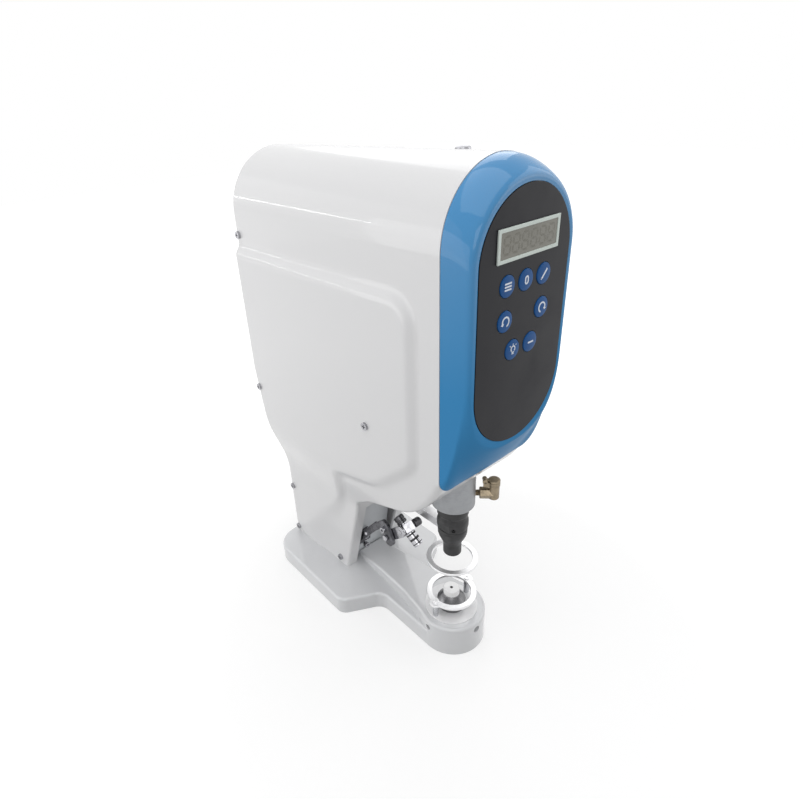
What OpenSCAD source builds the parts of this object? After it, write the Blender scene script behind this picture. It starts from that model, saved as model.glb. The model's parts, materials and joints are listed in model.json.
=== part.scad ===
// Servo-driven snap button attaching machine for a work table.
// The origin lies on the table under the punch and die axis.
// +X is the operator's right, -Y faces the operator and +Z is up.

/* [Casing] */
// Width of the head between its flat sides
head_w = 118; // [112:1:130]
// Height of the crown above the table
head_top = 492; // [484:1:510]
// Reach of the casing in front of the ram axis
seam_reach = 37; // [34:1:42]
// Distance from the ram axis back to the rear edge of the head
head_rear = 251; // [244:1:264]
// Distance from the ram axis back to the rear edge of the column
column_rear = 235; // [230:1:240]
// Width of the column between its rims
column_w = 82; // [78:1:90]
// Height at which the head starts to narrow
narrow_top = 195; // [185:1:205]
// Height at which the column has its full narrowness
narrow_end = 125; // [110:1:135]
// Wall of the casing halves
casing_wall = 3; // [2:0.5:4]
// Rise of the side panel over the rim
panel_rise = 5; // [3:0.5:6]
// Height of the side panel's upper edge
panel_top = 397; // [385:1:405]
// Radius of the chin under the head
chin_r = 99; // [94:1:104]
// Height of the chin's centre
chin_z = 277; // [272:1:282]
// Distance from the ram axis back to the chin's centre
chin_y = 55; // [50:1:60]
// Distance from the ram axis back to the column's front foot
column_front = 132; // [128:1:136]
// Distance from the ram axis back to the throat's inner corner
throat_y = 96; // [90:1:100]
// Width of the slot down the column's front
slot_w = 54; // [48:1:60]

/* [Front cover] */
// Depth of the front cover
cover_d = 26; // [22:1:32]
// Height of the front cover's lower rear edge
cover_foot = 236; // [230:1:242]
// Height of the front face's lower end
face_foot = 268; // [262:1:272]
// Half width of the front face
face_hw = 57; // [55:0.5:58]
// Height of the front face's upper end
face_top = 481; // [476:1:486]
// Wall of the front cover
cover_wall = 3; // [2.5:0.5:3.5]

/* [Control panel] */
// Half width of the dark fascia
fascia_hw = 50; // [48:0.5:51]
// Height of the fascia's lower end
fascia_foot = 279.5; // [276:0.5:284]
// Height of the fascia's upper end
fascia_top = 474; // [470:0.5:476]
// Thickness of the fascia
fascia_t = 1.6; // [1.2:0.1:2]
// Diameter of a key
key_d = 16; // [14:0.5:17]
// Travel of a key
key_travel = 0.6; // [0.4:0.1:0.7]
// Width of the display bezel
bezel_w = 67; // [60:1:70]
// Height of the display bezel
bezel_h = 23; // [20:1:25]
// Height of the display's centre
bezel_z = 437.5; // [435:0.5:440]

/* [Base] */
// Thickness of the base flange
base_t = 21; // [18:1:25]
// Width of the base flange
base_w = 160; // [150:1:180]
// Distance from the ram axis back to the base's rear edge
base_rear = 240; // [237:1:250]
// Radius of the nose that carries the die
nose_r = 36; // [34:0.5:40]
// Height of the nose
nose_h = 37; // [34:1:40]
// Height of the spine where it meets the column
spine_h = 29.5; // [27:0.5:31]

/* [Ram and dies] */
// Outer radius of the ram housing
housing_r = 21; // [20:0.5:22]
// Height of the housing's lower end
housing_z = 177; // [172:1:182]
// Radius of the ram
ram_r = 12; // [11:0.5:13]
// Stroke of the ram
ram_stroke = 45; // [35:1:47]
// Radius of the punch holder
holder_r = 15.5; // [14.5:0.5:16.5]
// Radius of the punch tip
tip_r = 9; // [7:0.5:10]
// Height of the punch tip at rest
tip_z = 113; // [110:0.5:116]
// Height of the lower die's top
die_top = 61; // [59:0.5:62]
// Radius of the lower die's top
die_r = 8.5; // [7:0.5:10]
// Radius of the lower die's shank
shank_r = 7; // [6:0.5:8]

/* [Finger guard] */
// Outer radius of both rings
ring_r = 26.2; // [25:0.1:28]
// Width of the ring band
ring_band = 5.6; // [4:0.1:6]
// Thickness of both rings
ring_t = 3; // [2:0.5:4]
// Height of the upper ring's lower face at rest
guard_z = 103; // [101:0.5:106]
// Height of the lower ring's lower face
ring_z = 54.5; // [52:0.5:56]
// Distance from the ram axis to the guard rod, across
rod_x = 16; // [15:0.5:17]
// Distance from the ram axis to the guard rod, back
rod_y = 62; // [58:1:66]
// Radius of the guard rod
rod_r = 4; // [3:0.5:4.5]

/* [Spot lamp] */
// Place of the spot lamp's pivot, across
lamp_x = -10; // [-12:0.5:-8]
// Place of the spot lamp's pivot, back
lamp_y = 57; // [54:0.5:60]
// Height of the spot lamp's pivot
lamp_z = 112; // [108:0.5:116]
// Radius of the lamp tube
tube_r = 4; // [3.5:0.1:4.5]
// Length of the lamp tube
tube_l = 30; // [28:1:34]

/* [Fits] */
// Radial clearance of a running fit
run_fit = 0.05; // [0.03:0.01:0.08]
// Clearance between parts that stay apart
gap = 0.3; // [0.2:0.05:0.4]

/* [Hidden] */
$fn = 64;

hw = head_w / 2;
col_hw = column_w / 2;
arch_z = head_top - hw;
foot_z = base_t;
seam_y = -seam_reach;
face_y = seam_y - cover_d;
ring_in = ring_r - ring_band;
far = 600;

// Lines with rounded corners: each point is [x, y, radius].
function unit(v) = v / norm(v);
function turn(a) = a > 180 ? a - 360 : a < -180 ? a + 360 : a;
function corner(p, q, s, r, n) = r <= 0 ? [q] :
  let (
    u = unit(p - q),
    v = unit(s - q),
    half = acos(u * v) / 2,
    o = q + unit(u + v) * (r / sin(half)),
    a = q + u * (r / tan(half)) - o,
    b = q + v * (r / tan(half)) - o,
    t = atan2(a.y, a.x),
    sweep = turn(atan2(b.y, b.x) - t)
  )
  [for (i = [0:n]) o + r * [cos(t + sweep * i / n), sin(t + sweep * i / n)]];
function flat(p) = [p.x, p.y];
function rounded(pts, n = 6) = [for (i = [0:len(pts) - 1])
  each corner(flat(pts[(i + len(pts) - 1) % len(pts)]), flat(pts[i]),
    flat(pts[(i + 1) % len(pts)]), pts[i][2], n)];
function both_sides(pts) = concat(pts, [for (i = [len(pts) - 1:-1:0]) [-pts[i].x, pts[i].y, pts[i][2]]]);

module along_y(y0, y1) {
  translate([0, y1, 0]) rotate([90, 0, 0]) linear_extrude(y1 - y0) children();
}
module along_x(x0, x1) {
  translate([x0, 0, 0]) rotate([90, 0, 90]) linear_extrude(x1 - x0) children();
}
module box(x0, x1, y0, y1, z0, z1) {
  translate([x0, y0, z0]) cube([x1 - x0, y1 - y0, z1 - z0]);
}
module rod(p, axis, r, l) {
  translate(p) {
    if (axis == "x") rotate([0, 90, 0]) cylinder(r = r, h = l);
    if (axis == "y") rotate([-90, 0, 0]) cylinder(r = r, h = l);
    if (axis == "z") cylinder(r = r, h = l);
  }
}
// A screw whose head sits on z = 0 and whose shank runs down.
module pan_screw(head_r, head_h, shank_r, shank_l) {
  difference() {
    cylinder(r = head_r, h = head_h);
    for (a = [0, 90])
      rotate([0, 0, a]) translate([-head_r * 0.6, -0.5, head_h * 0.5]) cube([head_r * 1.2, 1, head_h]);
  }
  translate([0, 0, -shank_l]) cylinder(r = shank_r, h = shank_l);
}
module socket_screw(head_r, head_h, shank_r, shank_l) {
  difference() {
    cylinder(r = head_r, h = head_h);
    translate([0, 0, head_h * 0.4]) cylinder(r = head_r * 0.55, h = head_h, $fn = 6);
  }
  translate([0, 0, -shank_l]) cylinder(r = shank_r, h = shank_l);
}

// Casing outlines: the front view is an arch that narrows to the column, and the side view
// runs round the crown, the back, the column, the throat and the chin.
narrow_steps = 10;
function narrow_x(t) = col_hw + (hw - col_hw) * (0.5 - 0.5 * cos(180 * t));
function half_width(z) = z >= narrow_top ? hw : z <= narrow_end ? col_hw :
  narrow_x((z - narrow_end) / (narrow_top - narrow_end));
function front_half(d, z0) = concat(
  [[col_hw - d, z0]],
  [for (i = [0:narrow_steps])
    [narrow_x(i / narrow_steps) - d, narrow_end + (narrow_top - narrow_end) * i / narrow_steps]]);
module front_outline(d, z0) {
  half = front_half(d, z0);
  polygon(concat(half, [[hw - d, arch_z], [-(hw - d), arch_z]],
    [for (i = [len(half) - 1:-1:0]) [-half[i].x, half[i].y]]));
  translate([0, arch_z]) circle(r = hw - d, $fn = 128);
}
rear_bend = 60;
rear_high = 262;
rear_low = 165;
function rear_path(d, top, foot) = [
  [head_rear - d, top, 0],
  [head_rear - d, rear_high, rear_bend],
  [column_rear - d, rear_low, rear_bend],
  [column_rear - d, foot, 0]];
throat_z = 172;
throat_r = 34;
function chin_end(d) = acos((chin_y + seam_reach) / (chin_r - d));
chin_steps = 12;
function chin(d) = [for (i = [0:chin_steps])
  let (a = 270 - (90 - chin_end(d)) * i / chin_steps)
  [chin_y + (chin_r - d) * cos(a), chin_z + (chin_r - d) * sin(a), 0]];
// d is the inset, and spill runs the outline out past the back, the foot and the seam.
function side_path(d, spill) = concat(
  [[seam_y - spill, head_top + 1, 0]],
  rear_path(-spill, head_top + 1, foot_z - spill),
  [[column_front + d, foot_z - spill, 0], [throat_y + d, throat_z + d, throat_r]],
  chin(d),
  [[seam_y - spill, chin_z - (chin_r - d) * sin(chin_end(d)), 0]]);
module side_outline(d, spill) {
  polygon(rounded(side_path(d, spill), 8));
}
panel_inset = 27;
module panel_outline(d, spill) {
  polygon(rounded([
    [head_rear + 20, panel_top - d, 0],
    [seam_y + panel_inset + d, panel_top - d, 22],
    [seam_y + panel_inset + d, chin_z - 27 + d, 22],
    [40, chin_z - chin_r + panel_inset + d, 60],
    [throat_y + 10 + d, throat_z + 16 + d, 30],
    [column_front + panel_inset + d, foot_z - spill, 0],
    [head_rear + 20, foot_z - spill, 0]], 6));
}
module casing_body(d, spill) {
  intersection() {
    along_y(-far, far) front_outline(d, foot_z - spill);
    along_x(-far, far) side_outline(d, spill);
  }
  intersection() {
    along_y(-far, far) front_outline(d - panel_rise, foot_z - spill);
    along_x(-far, far) side_outline(d, spill);
    along_x(-far, far) panel_outline(d, spill);
  }
}

// Cover screws: [y, z, surface half width at that place].
screw_inset = 6;
screw_spots = [
  [head_rear - screw_inset, 412, hw],
  [head_rear - screw_inset - 3, 240, hw + panel_rise],
  [48, 269, hw + panel_rise],
  [column_rear - screw_inset, 95, col_hw + panel_rise],
  [column_rear - screw_inset, foot_z + 8, col_hw + panel_rise],
  [column_front + 12, foot_z + 9, col_hw]];
screw_head_r = 3.8;
screw_r = 2;
screw_l = 9;
screw_head_h = 2.6;
cover_split = 0.05;

module cover_half() {
  difference() {
    casing_body(0, 0);
    casing_body(casing_wall, 1);
    box(-cover_split, far, -far, far, -far, far);
    rod([0, 0, housing_z], "z", housing_r + 1, chin_z - housing_z);
    box(-slot_w / 2, slot_w / 2, column_front - 60, column_front + 30, 0, throat_z - 12);
    for (s = screw_spots) rod([-far, s.x, s.y], "x", screw_r + gap, far);
  }
}
module left_cover() {
  color([0.92, 0.92, 0.91]) {
    cover_half();
    crown_tongue();
  }
}
module right_cover() {
  color([0.92, 0.92, 0.91]) difference() {
    mirror([1, 0, 0]) cover_half();
    rod([rod_x, rod_y, throat_z - 20], "z", bush_r + 1, 60);
    rod([crown_x, crown_y, head_top - 30], "z", screw_r + gap, 40);
  }
}

// Rear panel: a sheet between the casing halves, with a flange along each side.
panel_sheet = 2;
flange_d = 14;
vent_n = 7;
module rear_band(d0, d1) {
  polygon(rounded(concat(rear_path(d0, head_top + 1, foot_z + 1),
    [for (i = [3:-1:0]) let (p = rear_path(d1, head_top + 1, foot_z + 1)[i]) p]), 8));
}
module rear_panel() {
  inside = casing_wall + gap;
  color([0.80, 0.80, 0.80]) difference() {
    union() {
      intersection() {
        casing_body(inside, 0);
        along_x(-far, far) rear_band(1, 1 + panel_sheet);
      }
      intersection() {
        difference() {
          casing_body(inside, 0);
          casing_body(inside + panel_sheet, 1);
        }
        along_x(-far, far) rear_band(1, 1 + flange_d);
      }
    }
    for (i = [0:vent_n - 1]) box(-26, 26, column_rear - 30, far, 318 + 12 * i, 322 + 12 * i);
    box(-switch_w / 2 - gap, switch_w / 2 + gap, column_rear - 20, far, switch_z - switch_h / 2 - gap,
      switch_z + switch_h / 2 + gap);
    box(-inlet_w / 2 - gap, inlet_w / 2 + gap, column_rear - 20, far, inlet_z - inlet_h / 2 - gap,
      inlet_z + inlet_h / 2 + gap);
    rod([0, column_rear - 20, socket_z], "y", socket_r + gap, 60);
    for (s = screw_spots, k = [-1, 1]) rod([k == 1 ? 0 : -far, s.x, s.y], "x", screw_r, far);
  }
}
module side_screws() {
  color([0.62, 0.62, 0.64]) for (s = screw_spots, k = [-1, 1])
    translate([k * s[2], s.x, s.y]) rotate([0, k * 90, 0]) pan_screw(screw_head_r, screw_head_h, screw_r, screw_l);
}
crown_x = 8;
crown_y = 4;
crown_seat = arch_z + sqrt(hw * hw - pow(crown_x - screw_head_r, 2));
// A tongue on the left half reaches under the right half and takes the crown screw.
tongue_hl = 14;
module crown_tongue() {
  difference() {
    intersection() {
      along_y(crown_y - tongue_hl, crown_y + tongue_hl) translate([0, arch_z]) difference() {
        union() {
          circle(r = hw - casing_wall - gap, $fn = 128);
          intersection() {
            circle(r = hw - casing_wall + 1, $fn = 128);
            translate([-hw, 0]) square([hw - cover_split, hw]);
          }
        }
        circle(r = hw - 2 * casing_wall, $fn = 128);
      }
      box(-12, crown_x + 9, -far, far, arch_z, far);
    }
    rod([crown_x, crown_y, arch_z], "z", screw_r, hw);
  }
}
module crown_screw() {
  color([0.35, 0.35, 0.36]) translate([crown_x, crown_y, crown_seat]) pan_screw(screw_head_r, screw_head_h, screw_r, screw_l);
}

// Front cover: a deep tray that tapers from the seam to a rounded front face.
edge_r = 4;
lip = 0.5;
module cover_rear_outline(d) {
  hull() {
    translate([0, arch_z]) circle(r = hw - lip - d, $fn = 40);
    for (k = [-1, 1]) translate([k * (hw - lip - 11), cover_foot + 11]) circle(r = 11 - d, $fn = 24);
  }
}
module face_outline(d) {
  hull() {
    translate([0, face_top - face_hw]) circle(r = face_hw - d, $fn = 40);
    translate([0, face_foot + face_hw]) circle(r = face_hw - d, $fn = 40);
  }
}
module cover_form(d) {
  hull() {
    along_y(seam_y - gap - 0.1, seam_y - gap + (d > 0 ? 1 : 0)) cover_rear_outline(d);
    along_y(face_y + edge_r + 0.1, face_y + edge_r + 0.2) face_outline(d);
    along_y(face_y + d, face_y + d + 0.1) face_outline(d + edge_r - 1);
  }
}
fascia_seat = 1.2;
fascia_back = face_y + fascia_seat;
module fascia_outline(d) {
  r = fascia_hw - d;
  for (z = [fascia_foot + fascia_hw, fascia_top - fascia_hw]) translate([0, z]) circle(r = r, $fn = 96);
  translate([-r, fascia_foot + fascia_hw]) square([2 * r, fascia_top - fascia_foot - 2 * fascia_hw]);
}
// Keys: [x, z] of each centre on the fascia.
row_1 = 409;
row_2 = 383.5;
row_3 = 359;
key_spots = [[-20.5, row_1], [0, row_1], [20.5, row_1], [-21, row_2], [21, row_2], [-10.5, row_3],
  [10.5, row_3]];
stem_r = 2.5;
board_y = face_y + 13;
board_t = 1.6;
switch_body = 3.5;
module front_cover() {
  color([0.25, 0.55, 0.78]) difference() {
    cover_form(0);
    cover_form(cover_wall);
    along_y(face_y - 1, fascia_back) fascia_outline(-gap);
    for (k = key_spots) rod([k.x, face_y - 1, k.y], "y", stem_r + gap, 10);
  }
}
module fascia() {
  color([0.13, 0.13, 0.14]) difference() {
    along_y(fascia_back - fascia_t, fascia_back) fascia_outline(0);
    for (k = key_spots) rod([k.x, face_y - 5, k.y], "y", key_d / 2 + gap, 10);
    box(-window_w / 2 - 1, window_w / 2 + 1, face_y - 5, fascia_back + 1, bezel_z - window_h / 2 - 1,
      bezel_z + window_h / 2 + 1);
  }
}
bezel_line = 2.6;
window_w = bezel_w - 2 * bezel_line;
window_h = bezel_h - 2 * bezel_line;
bezel_t = 1.4;
fascia_front = fascia_back - fascia_t;
module display_bezel() {
  color([0.80, 0.83, 0.80]) difference() {
    box(-bezel_w / 2, bezel_w / 2, fascia_front - bezel_t, fascia_front, bezel_z - bezel_h / 2, bezel_z + bezel_h / 2);
    box(-window_w / 2, window_w / 2, fascia_front - 5, fascia_front + 1, bezel_z - window_h / 2,
      bezel_z + window_h / 2);
  }
}
module display_window() {
  color([0.45, 0.46, 0.42]) box(-window_w / 2, window_w / 2, fascia_front - bezel_t + 0.5, fascia_back,
    bezel_z - window_h / 2, bezel_z + window_h / 2);
}
pcb_hw = 40;
module control_board() {
  color([0.10, 0.36, 0.20]) difference() {
    union() {
      box(-pcb_hw, pcb_hw, board_y, board_y + board_t, row_3 - 20, bezel_z + 18);
      for (k = key_spots) box(k.x - 3, k.x + 3, board_y - switch_body, board_y, k.y - 3, k.y + 3);
      box(-30, 30, board_y - 6, board_y, bezel_z - 9, bezel_z + 9);
      for (k = [-1, 1], z = [row_3 - 15, bezel_z + 14])
        rod([k * (pcb_hw - 6), face_y + cover_wall, z], "y", 2.5, board_y - face_y - cover_wall);
    }
    for (k = key_spots) rod([k.x, board_y - switch_body - 1, k.y], "y", 1, 3);
  }
}
key_proud = 0.7;
module key(i) {
  k = key_spots[i];
  back = fascia_back - key_travel - 0.1;
  front = fascia_front - key_proud;
  color([0.16, 0.33, 0.62]) {
    rod([k.x, front + 0.4, k.y], "y", key_d / 2, back - front - 0.4);
    rod([k.x, front, k.y], "y", key_d / 2 - 0.6, 0.4);
    rod([k.x, back, k.y], "y", stem_r, board_y - switch_body - key_travel - 0.1 - back);
  }
}
module key_menu() { key(0); }
module key_zero() { key(1); }
module key_edit() { key(2); }
module key_back() { key(3); }
module key_forward() { key(4); }
module key_lamp() { key(5); }
module key_minus() { key(6); }

// Base casting: a flange with two wings, an arm, a round nose and a spine that climbs to it.
wing_front = 96;
arm_root = 73;
module base_outline() {
  circle(r = nose_r, $fn = 96);
  polygon(rounded(both_sides([
    [nose_r, 0, 0], [nose_r, arm_root, 16], [base_w / 2, wing_front, 14], [base_w / 2, base_rear - 4, 28],
    [42, base_rear, 0]]), 8));
}
spine_hw = 18;
spine_end = column_front + 6;
module spine_outline() {
  circle(r = nose_r - 0.5, $fn = 96);
  polygon(rounded(both_sides([[nose_r - 0.5, 0, 0], [nose_r - 5, 18, 30], [spine_hw + 7, 50, 90],
    [spine_hw + 2.5, 95, 120], [spine_hw, spine_end, 0]]), 3));
}
plate_r = 28;
plate_t = 2;
plate_sink = 1;
plate_top = nose_h - plate_sink + plate_t;
die_foot = 14;
post_x = ring_r - ring_band / 2 + 0.6;
post_r = 3;
stud_r = 2;
stud_l = 4.5;
set_z = 28;
bolt_r = 4;
frame_front = column_front + 8;
frame_rear = column_rear - 15;
bolt_spots = [for (x = [-22, 22], y = [frame_front + 18, frame_rear - 14]) [x, y]];
bolt_sink = 9;
bolt_grip = 10;
module base() {
  color([0.80, 0.80, 0.79]) difference() {
    union() {
      linear_extrude(base_t) base_outline();
      intersection() {
        translate([0, 0, base_t / 2]) linear_extrude(nose_h - base_t / 2) spine_outline();
        along_x(-far, far) polygon([[-nose_r - 1, 1], [-nose_r - 1, nose_h], [nose_r - 8, nose_h],
          [spine_end, spine_h], [spine_end, 1]]);
      }
    }
    rod([0, 0, nose_h - plate_sink], "z", plate_r + run_fit, 10);
    rod([0, 0, die_foot], "z", shank_r + run_fit, 60);
    rod([-nose_r - 5, 0, set_z], "x", 2.5, nose_r);
    rod([0, -nose_r - 5, set_z], "y", 3.5, nose_r);
    for (k = [-1, 1]) rod([k * post_x, 0, plate_top - plate_t - stud_l], "z", stud_r, 20);
    for (b = bolt_spots) {
      rod([b.x, b.y, -1], "z", bolt_r + gap, 60);
      rod([b.x, b.y, -1], "z", bolt_r * 1.75 + gap, bolt_sink + 1);
    }
  }
}
module die_plate() {
  color([0.85, 0.85, 0.86]) difference() {
    rod([0, 0, nose_h - plate_sink], "z", plate_r, plate_t);
    rod([0, 0, 0], "z", shank_r + run_fit, 100);
    for (k = [-1, 1]) rod([k * post_x, 0, 0], "z", stud_r + gap, 100);
  }
}
die_cone = 15;
die_neck = die_top - 5;
die_skirt = die_neck - 10;
module lower_die() {
  color([0.55, 0.55, 0.56]) rotate_extrude($fn = 96) polygon([
    [1.5, die_top - 8], [1.5, die_top], [die_r - 0.5, die_top], [die_r, die_top - 0.5], [die_r, die_neck],
    [die_r + 0.8, die_neck - 0.6], [die_cone, die_skirt], [die_cone, die_skirt - 2.5],
    [die_cone - 2.5, die_skirt - 4], [die_cone - 2.5, plate_top], [shank_r, plate_top],
    [shank_r, die_foot + 0.5], [0, die_foot + 0.5], [0, die_top - 8]]);
}
module die_set_screws() {
  color([0.20, 0.20, 0.21]) {
    difference() {
      rod([-nose_r + 7, 0, set_z], "x", 2.5, nose_r - 7 - shank_r - run_fit);
      rod([-nose_r + 6, 0, set_z], "x", 1.3, 4, $fn = 6);
    }
    difference() {
      rod([0, -nose_r + 7, set_z], "y", 3.5, nose_r - 7 - shank_r - run_fit);
      rod([0, -nose_r + 6, set_z], "y", 1.8, 4, $fn = 6);
    }
  }
}
lug_r = 6.5;
ring_screw_r = 3.2;
ring_screw_h = 2;
ring_bite = 7;
module lower_ring() {
  color([0.88, 0.88, 0.89]) difference() {
    union() {
      rod([0, 0, ring_z], "z", ring_r, ring_t);
      for (k = [-1, 1]) rod([k * post_x, 0, ring_z], "z", lug_r, ring_t);
    }
    rod([0, 0, 0], "z", ring_in, 100);
    for (k = [-1, 1]) rod([k * post_x, 0, 0], "z", stud_r + gap, 100);
  }
}
module ring_posts() {
  color([0.72, 0.72, 0.73]) for (k = [-1, 1]) difference() {
    union() {
      rod([k * post_x, 0, plate_top], "z", post_r, ring_z - plate_top);
      rod([k * post_x, 0, plate_top - plate_t - stud_l + 0.5], "z", stud_r, stud_l + plate_t);
    }
    rod([k * post_x, 0, ring_z - ring_bite - 1], "z", stud_r, 20);
  }
}
module ring_screws() {
  color([0.55, 0.55, 0.57]) for (k = [-1, 1])
    translate([k * post_x, 0, ring_z + ring_t]) pan_screw(ring_screw_r, ring_screw_h, stud_r, ring_t + ring_bite);
}

// Frame casting: a C with a foot, a column, an arm and the boss that holds the ram housing.
frame_hw = 26;
frame_foot_hw = col_hw - casing_wall - 4;
arm_top = 300;
boss_r = housing_r + 6;
boss_z = chin_z - 42;
block_z = chin_z - 15;
block_hw = 34;
block_y = 30;
pad_y = column_front - 2;
pad_x0 = -slot_w / 2 + 2;
pad_x1 = -8;
pad_z = 55;
pad_hh = 13;
rod_top = 262;
bush_r = 7;
bush_z0 = 188;
bush_z1 = 226;
arm_z = chin_z - 69;
module frame() {
  color([0.74, 0.76, 0.78]) difference() {
    union() {
      along_x(-frame_hw, frame_hw) polygon(rounded([
        [frame_front, foot_z, 0], [throat_y + 18, throat_z - 10, 30], [throat_y + 8, arm_z, 20], [20, arm_z, 0],
        [20, arm_top, 0], [160, arm_top, 40], [170, arm_top + 60, 20], [frame_rear, arm_top + 60, 10],
        [frame_rear, foot_z, 0]], 6));
      box(-frame_foot_hw, frame_foot_hw, frame_front, frame_rear + 4, foot_z, foot_z + 15);
      rod([0, 0, boss_z], "z", boss_r, block_z - boss_z);
      box(-block_hw, block_hw, -block_y, 40, block_z, arm_top);
      box(pad_x0, pad_x1, pad_y, frame_front + 10, pad_z - pad_hh, pad_z + pad_hh);
      rod([casing_wall - screw_spots[2][2], screw_spots[2].x, screw_spots[2].y], "x", 6,
        2 * (screw_spots[2][2] - casing_wall));
    }
    for (s = screw_spots, k = [-1, 1])
      rod([k == 1 ? s[2] - screw_l - 1 : -far, s.x, s.y], "x", screw_r, far - s[2] + screw_l + 1);
    rod([0, 0, 0], "z", housing_r + run_fit, far);
    rod([rod_x, rod_y, 0], "z", bush_r + run_fit, bush_z1);
    rod([rod_x, rod_y, 0], "z", rod_r + 1, rod_top + 12);
    for (b = bolt_spots) rod([b.x, b.y, 0], "z", bolt_r, foot_z + bolt_sink + bolt_grip + 3);
    for (z = pad_screws) rod([lamp_foot_x, pad_y - 1, z], "y", screw_r, 14);
  }
}
module frame_bolts() {
  color([0.25, 0.25, 0.26]) for (b = bolt_spots)
    translate([b.x, b.y, bolt_sink]) mirror([0, 0, 1]) socket_screw(bolt_r * 1.75, bolt_r * 2, bolt_r, foot_z + bolt_grip);
}

// Ram housing, bushes, ram and punch.
bush_wall = 4;
housing_in = ram_r + bush_wall;
lower_bush_l = 24;
upper_bush_z = 236;
upper_bush_l = 26;
cup_z = housing_z + 10.5;
cup_thread = 3.2;
module ram_housing() {
  color([0.60, 0.61, 0.62]) difference() {
    union() {
      rod([0, 0, housing_z], "z", housing_r, arm_top + 5 - housing_z);
      rod([0, 0, arm_top], "z", boss_r - 1, 5);
    }
    rod([0, 0, 0], "z", housing_in, far);
    rotate([0, 0, cup_turn]) rod([ram_r + bush_wall - 2, 0, cup_z], "x", cup_thread, 20);
  }
}
module bush(z, l) {
  color([0.72, 0.56, 0.28]) difference() {
    rod([0, 0, z], "z", housing_in, l);
    rod([0, 0, 0], "z", ram_r + run_fit, far);
  }
}
module lower_bush() {
  difference() {
    bush(housing_z + 1, lower_bush_l);
    color([0.72, 0.56, 0.28]) rotate([0, 0, cup_turn]) rod([0, 0, cup_z], "x", 1.5, 30);
  }
}
module upper_bush() { bush(upper_bush_z, upper_bush_l); }
housing_gap = 0.4;
punch_l = 34;
holder_top = housing_z - housing_gap;
holder_foot = tip_z + punch_l;
neck_l = 3;
collar_l = 10;
collar_top = holder_foot - neck_l;
collar_foot = collar_top - collar_l;
bevel = 1;
lip_l = 4;
socket_l = 10;
ram_foot = holder_foot + socket_l;
punch_shank = 6;
set_punch_z = holder_foot + socket_l / 2;
set_turn = -135;
tip_bevel = 1.5;
tip_l = 11;
ram_top = 318;
nut_r = ram_r + bush_wall - 2;
nut_l = 34;
screw_shaft = 5;
screw_foot = ram_top - ram_stroke - 33;
module ram() {
  color([0.78, 0.78, 0.80]) difference() {
    rod([0, 0, ram_foot], "z", ram_r, ram_top - ram_foot);
    rod([0, 0, screw_foot - 25], "z", screw_shaft + 1.5, far);
  }
}
module punch_holder() {
  color([0.16, 0.16, 0.16]) difference() {
    rotate_extrude($fn = 96) polygon([[0, holder_foot], [holder_r - bevel, holder_foot],
      [holder_r, holder_foot + bevel], [holder_r, holder_top - lip_l], [holder_r - bevel, holder_top - lip_l + bevel],
      [holder_r - bevel, holder_top], [0, holder_top]]);
    rod([0, 0, ram_foot], "z", ram_r, 60);
    rod([0, 0, 0], "z", punch_shank, ram_foot + 1);
    rotate([0, 0, set_turn]) rod([0, 0, set_punch_z], "x", 2, 40);
  }
}
module punch() {
  color([0.20, 0.20, 0.20]) rotate_extrude($fn = 96) polygon([[0, tip_z], [tip_r - tip_bevel, tip_z],
    [tip_r, tip_z + tip_bevel], [tip_r, tip_z + tip_l], [holder_r - 1.5 * bevel, collar_foot - neck_l],
    [holder_r - bevel / 2, collar_foot], [holder_r - bevel / 2, collar_top - bevel],
    [holder_r - 1.5 * bevel, collar_top], [holder_r - 2 * bevel, holder_foot], [punch_shank, holder_foot],
    [punch_shank, ram_foot - bevel / 2], [0, ram_foot - bevel / 2]]);
}
module punch_set_screw() {
  color([0.30, 0.30, 0.31]) rotate([0, 0, set_turn]) difference() {
    rod([punch_shank, 0, set_punch_z], "x", 2, holder_r - punch_shank - 1);
    rod([holder_r - 3, 0, set_punch_z], "x", 1.1, 10, $fn = 6);
  }
}

// Ball screw drive: the motor stands over the ram and turns the screw in the ram's nut.
bearing_z = 358;
bearing_l = 14;
bearing_r = 13;
journal_r = 6;
mount_top = 400;
mount_plate = 8;
coupling_r = 11;
coupling_z = bearing_z + bearing_l + 2;
coupling_l = 20;
motor_hw = 29;
motor_cap = 7;
crown_room = 8;
motor_l = head_top - casing_wall - crown_room - motor_cap - mount_top;
shaft_r = 5;
module drive_nut() {
  color([0.50, 0.50, 0.52]) difference() {
    rod([0, 0, ram_top], "z", nut_r, nut_l);
    rod([0, 0, 0], "z", screw_shaft + run_fit, far);
  }
}
module drive_screw() {
  color([0.82, 0.82, 0.84]) {
    rod([0, 0, screw_foot], "z", screw_shaft, bearing_z - screw_foot);
    rod([0, 0, bearing_z], "z", journal_r, coupling_z + coupling_l / 2 - 1 - bearing_z);
  }
}
module screw_bearing() {
  color([0.66, 0.67, 0.69]) difference() {
    rod([0, 0, bearing_z], "z", bearing_r, bearing_l);
    rod([0, 0, 0], "z", journal_r + run_fit, far);
  }
}
module screw_coupling() {
  color([0.70, 0.30, 0.22]) difference() {
    rod([0, 0, coupling_z], "z", coupling_r, coupling_l);
    rod([0, 0, 0], "z", journal_r, coupling_z + coupling_l / 2);
    rod([0, 0, coupling_z], "z", shaft_r, coupling_l + 1);
  }
}
module motor_shaft() {
  color([0.80, 0.80, 0.82])
    rod([0, 0, coupling_z + coupling_l / 2], "z", shaft_r, mount_top + 6 - coupling_z - coupling_l / 2);
}
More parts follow.
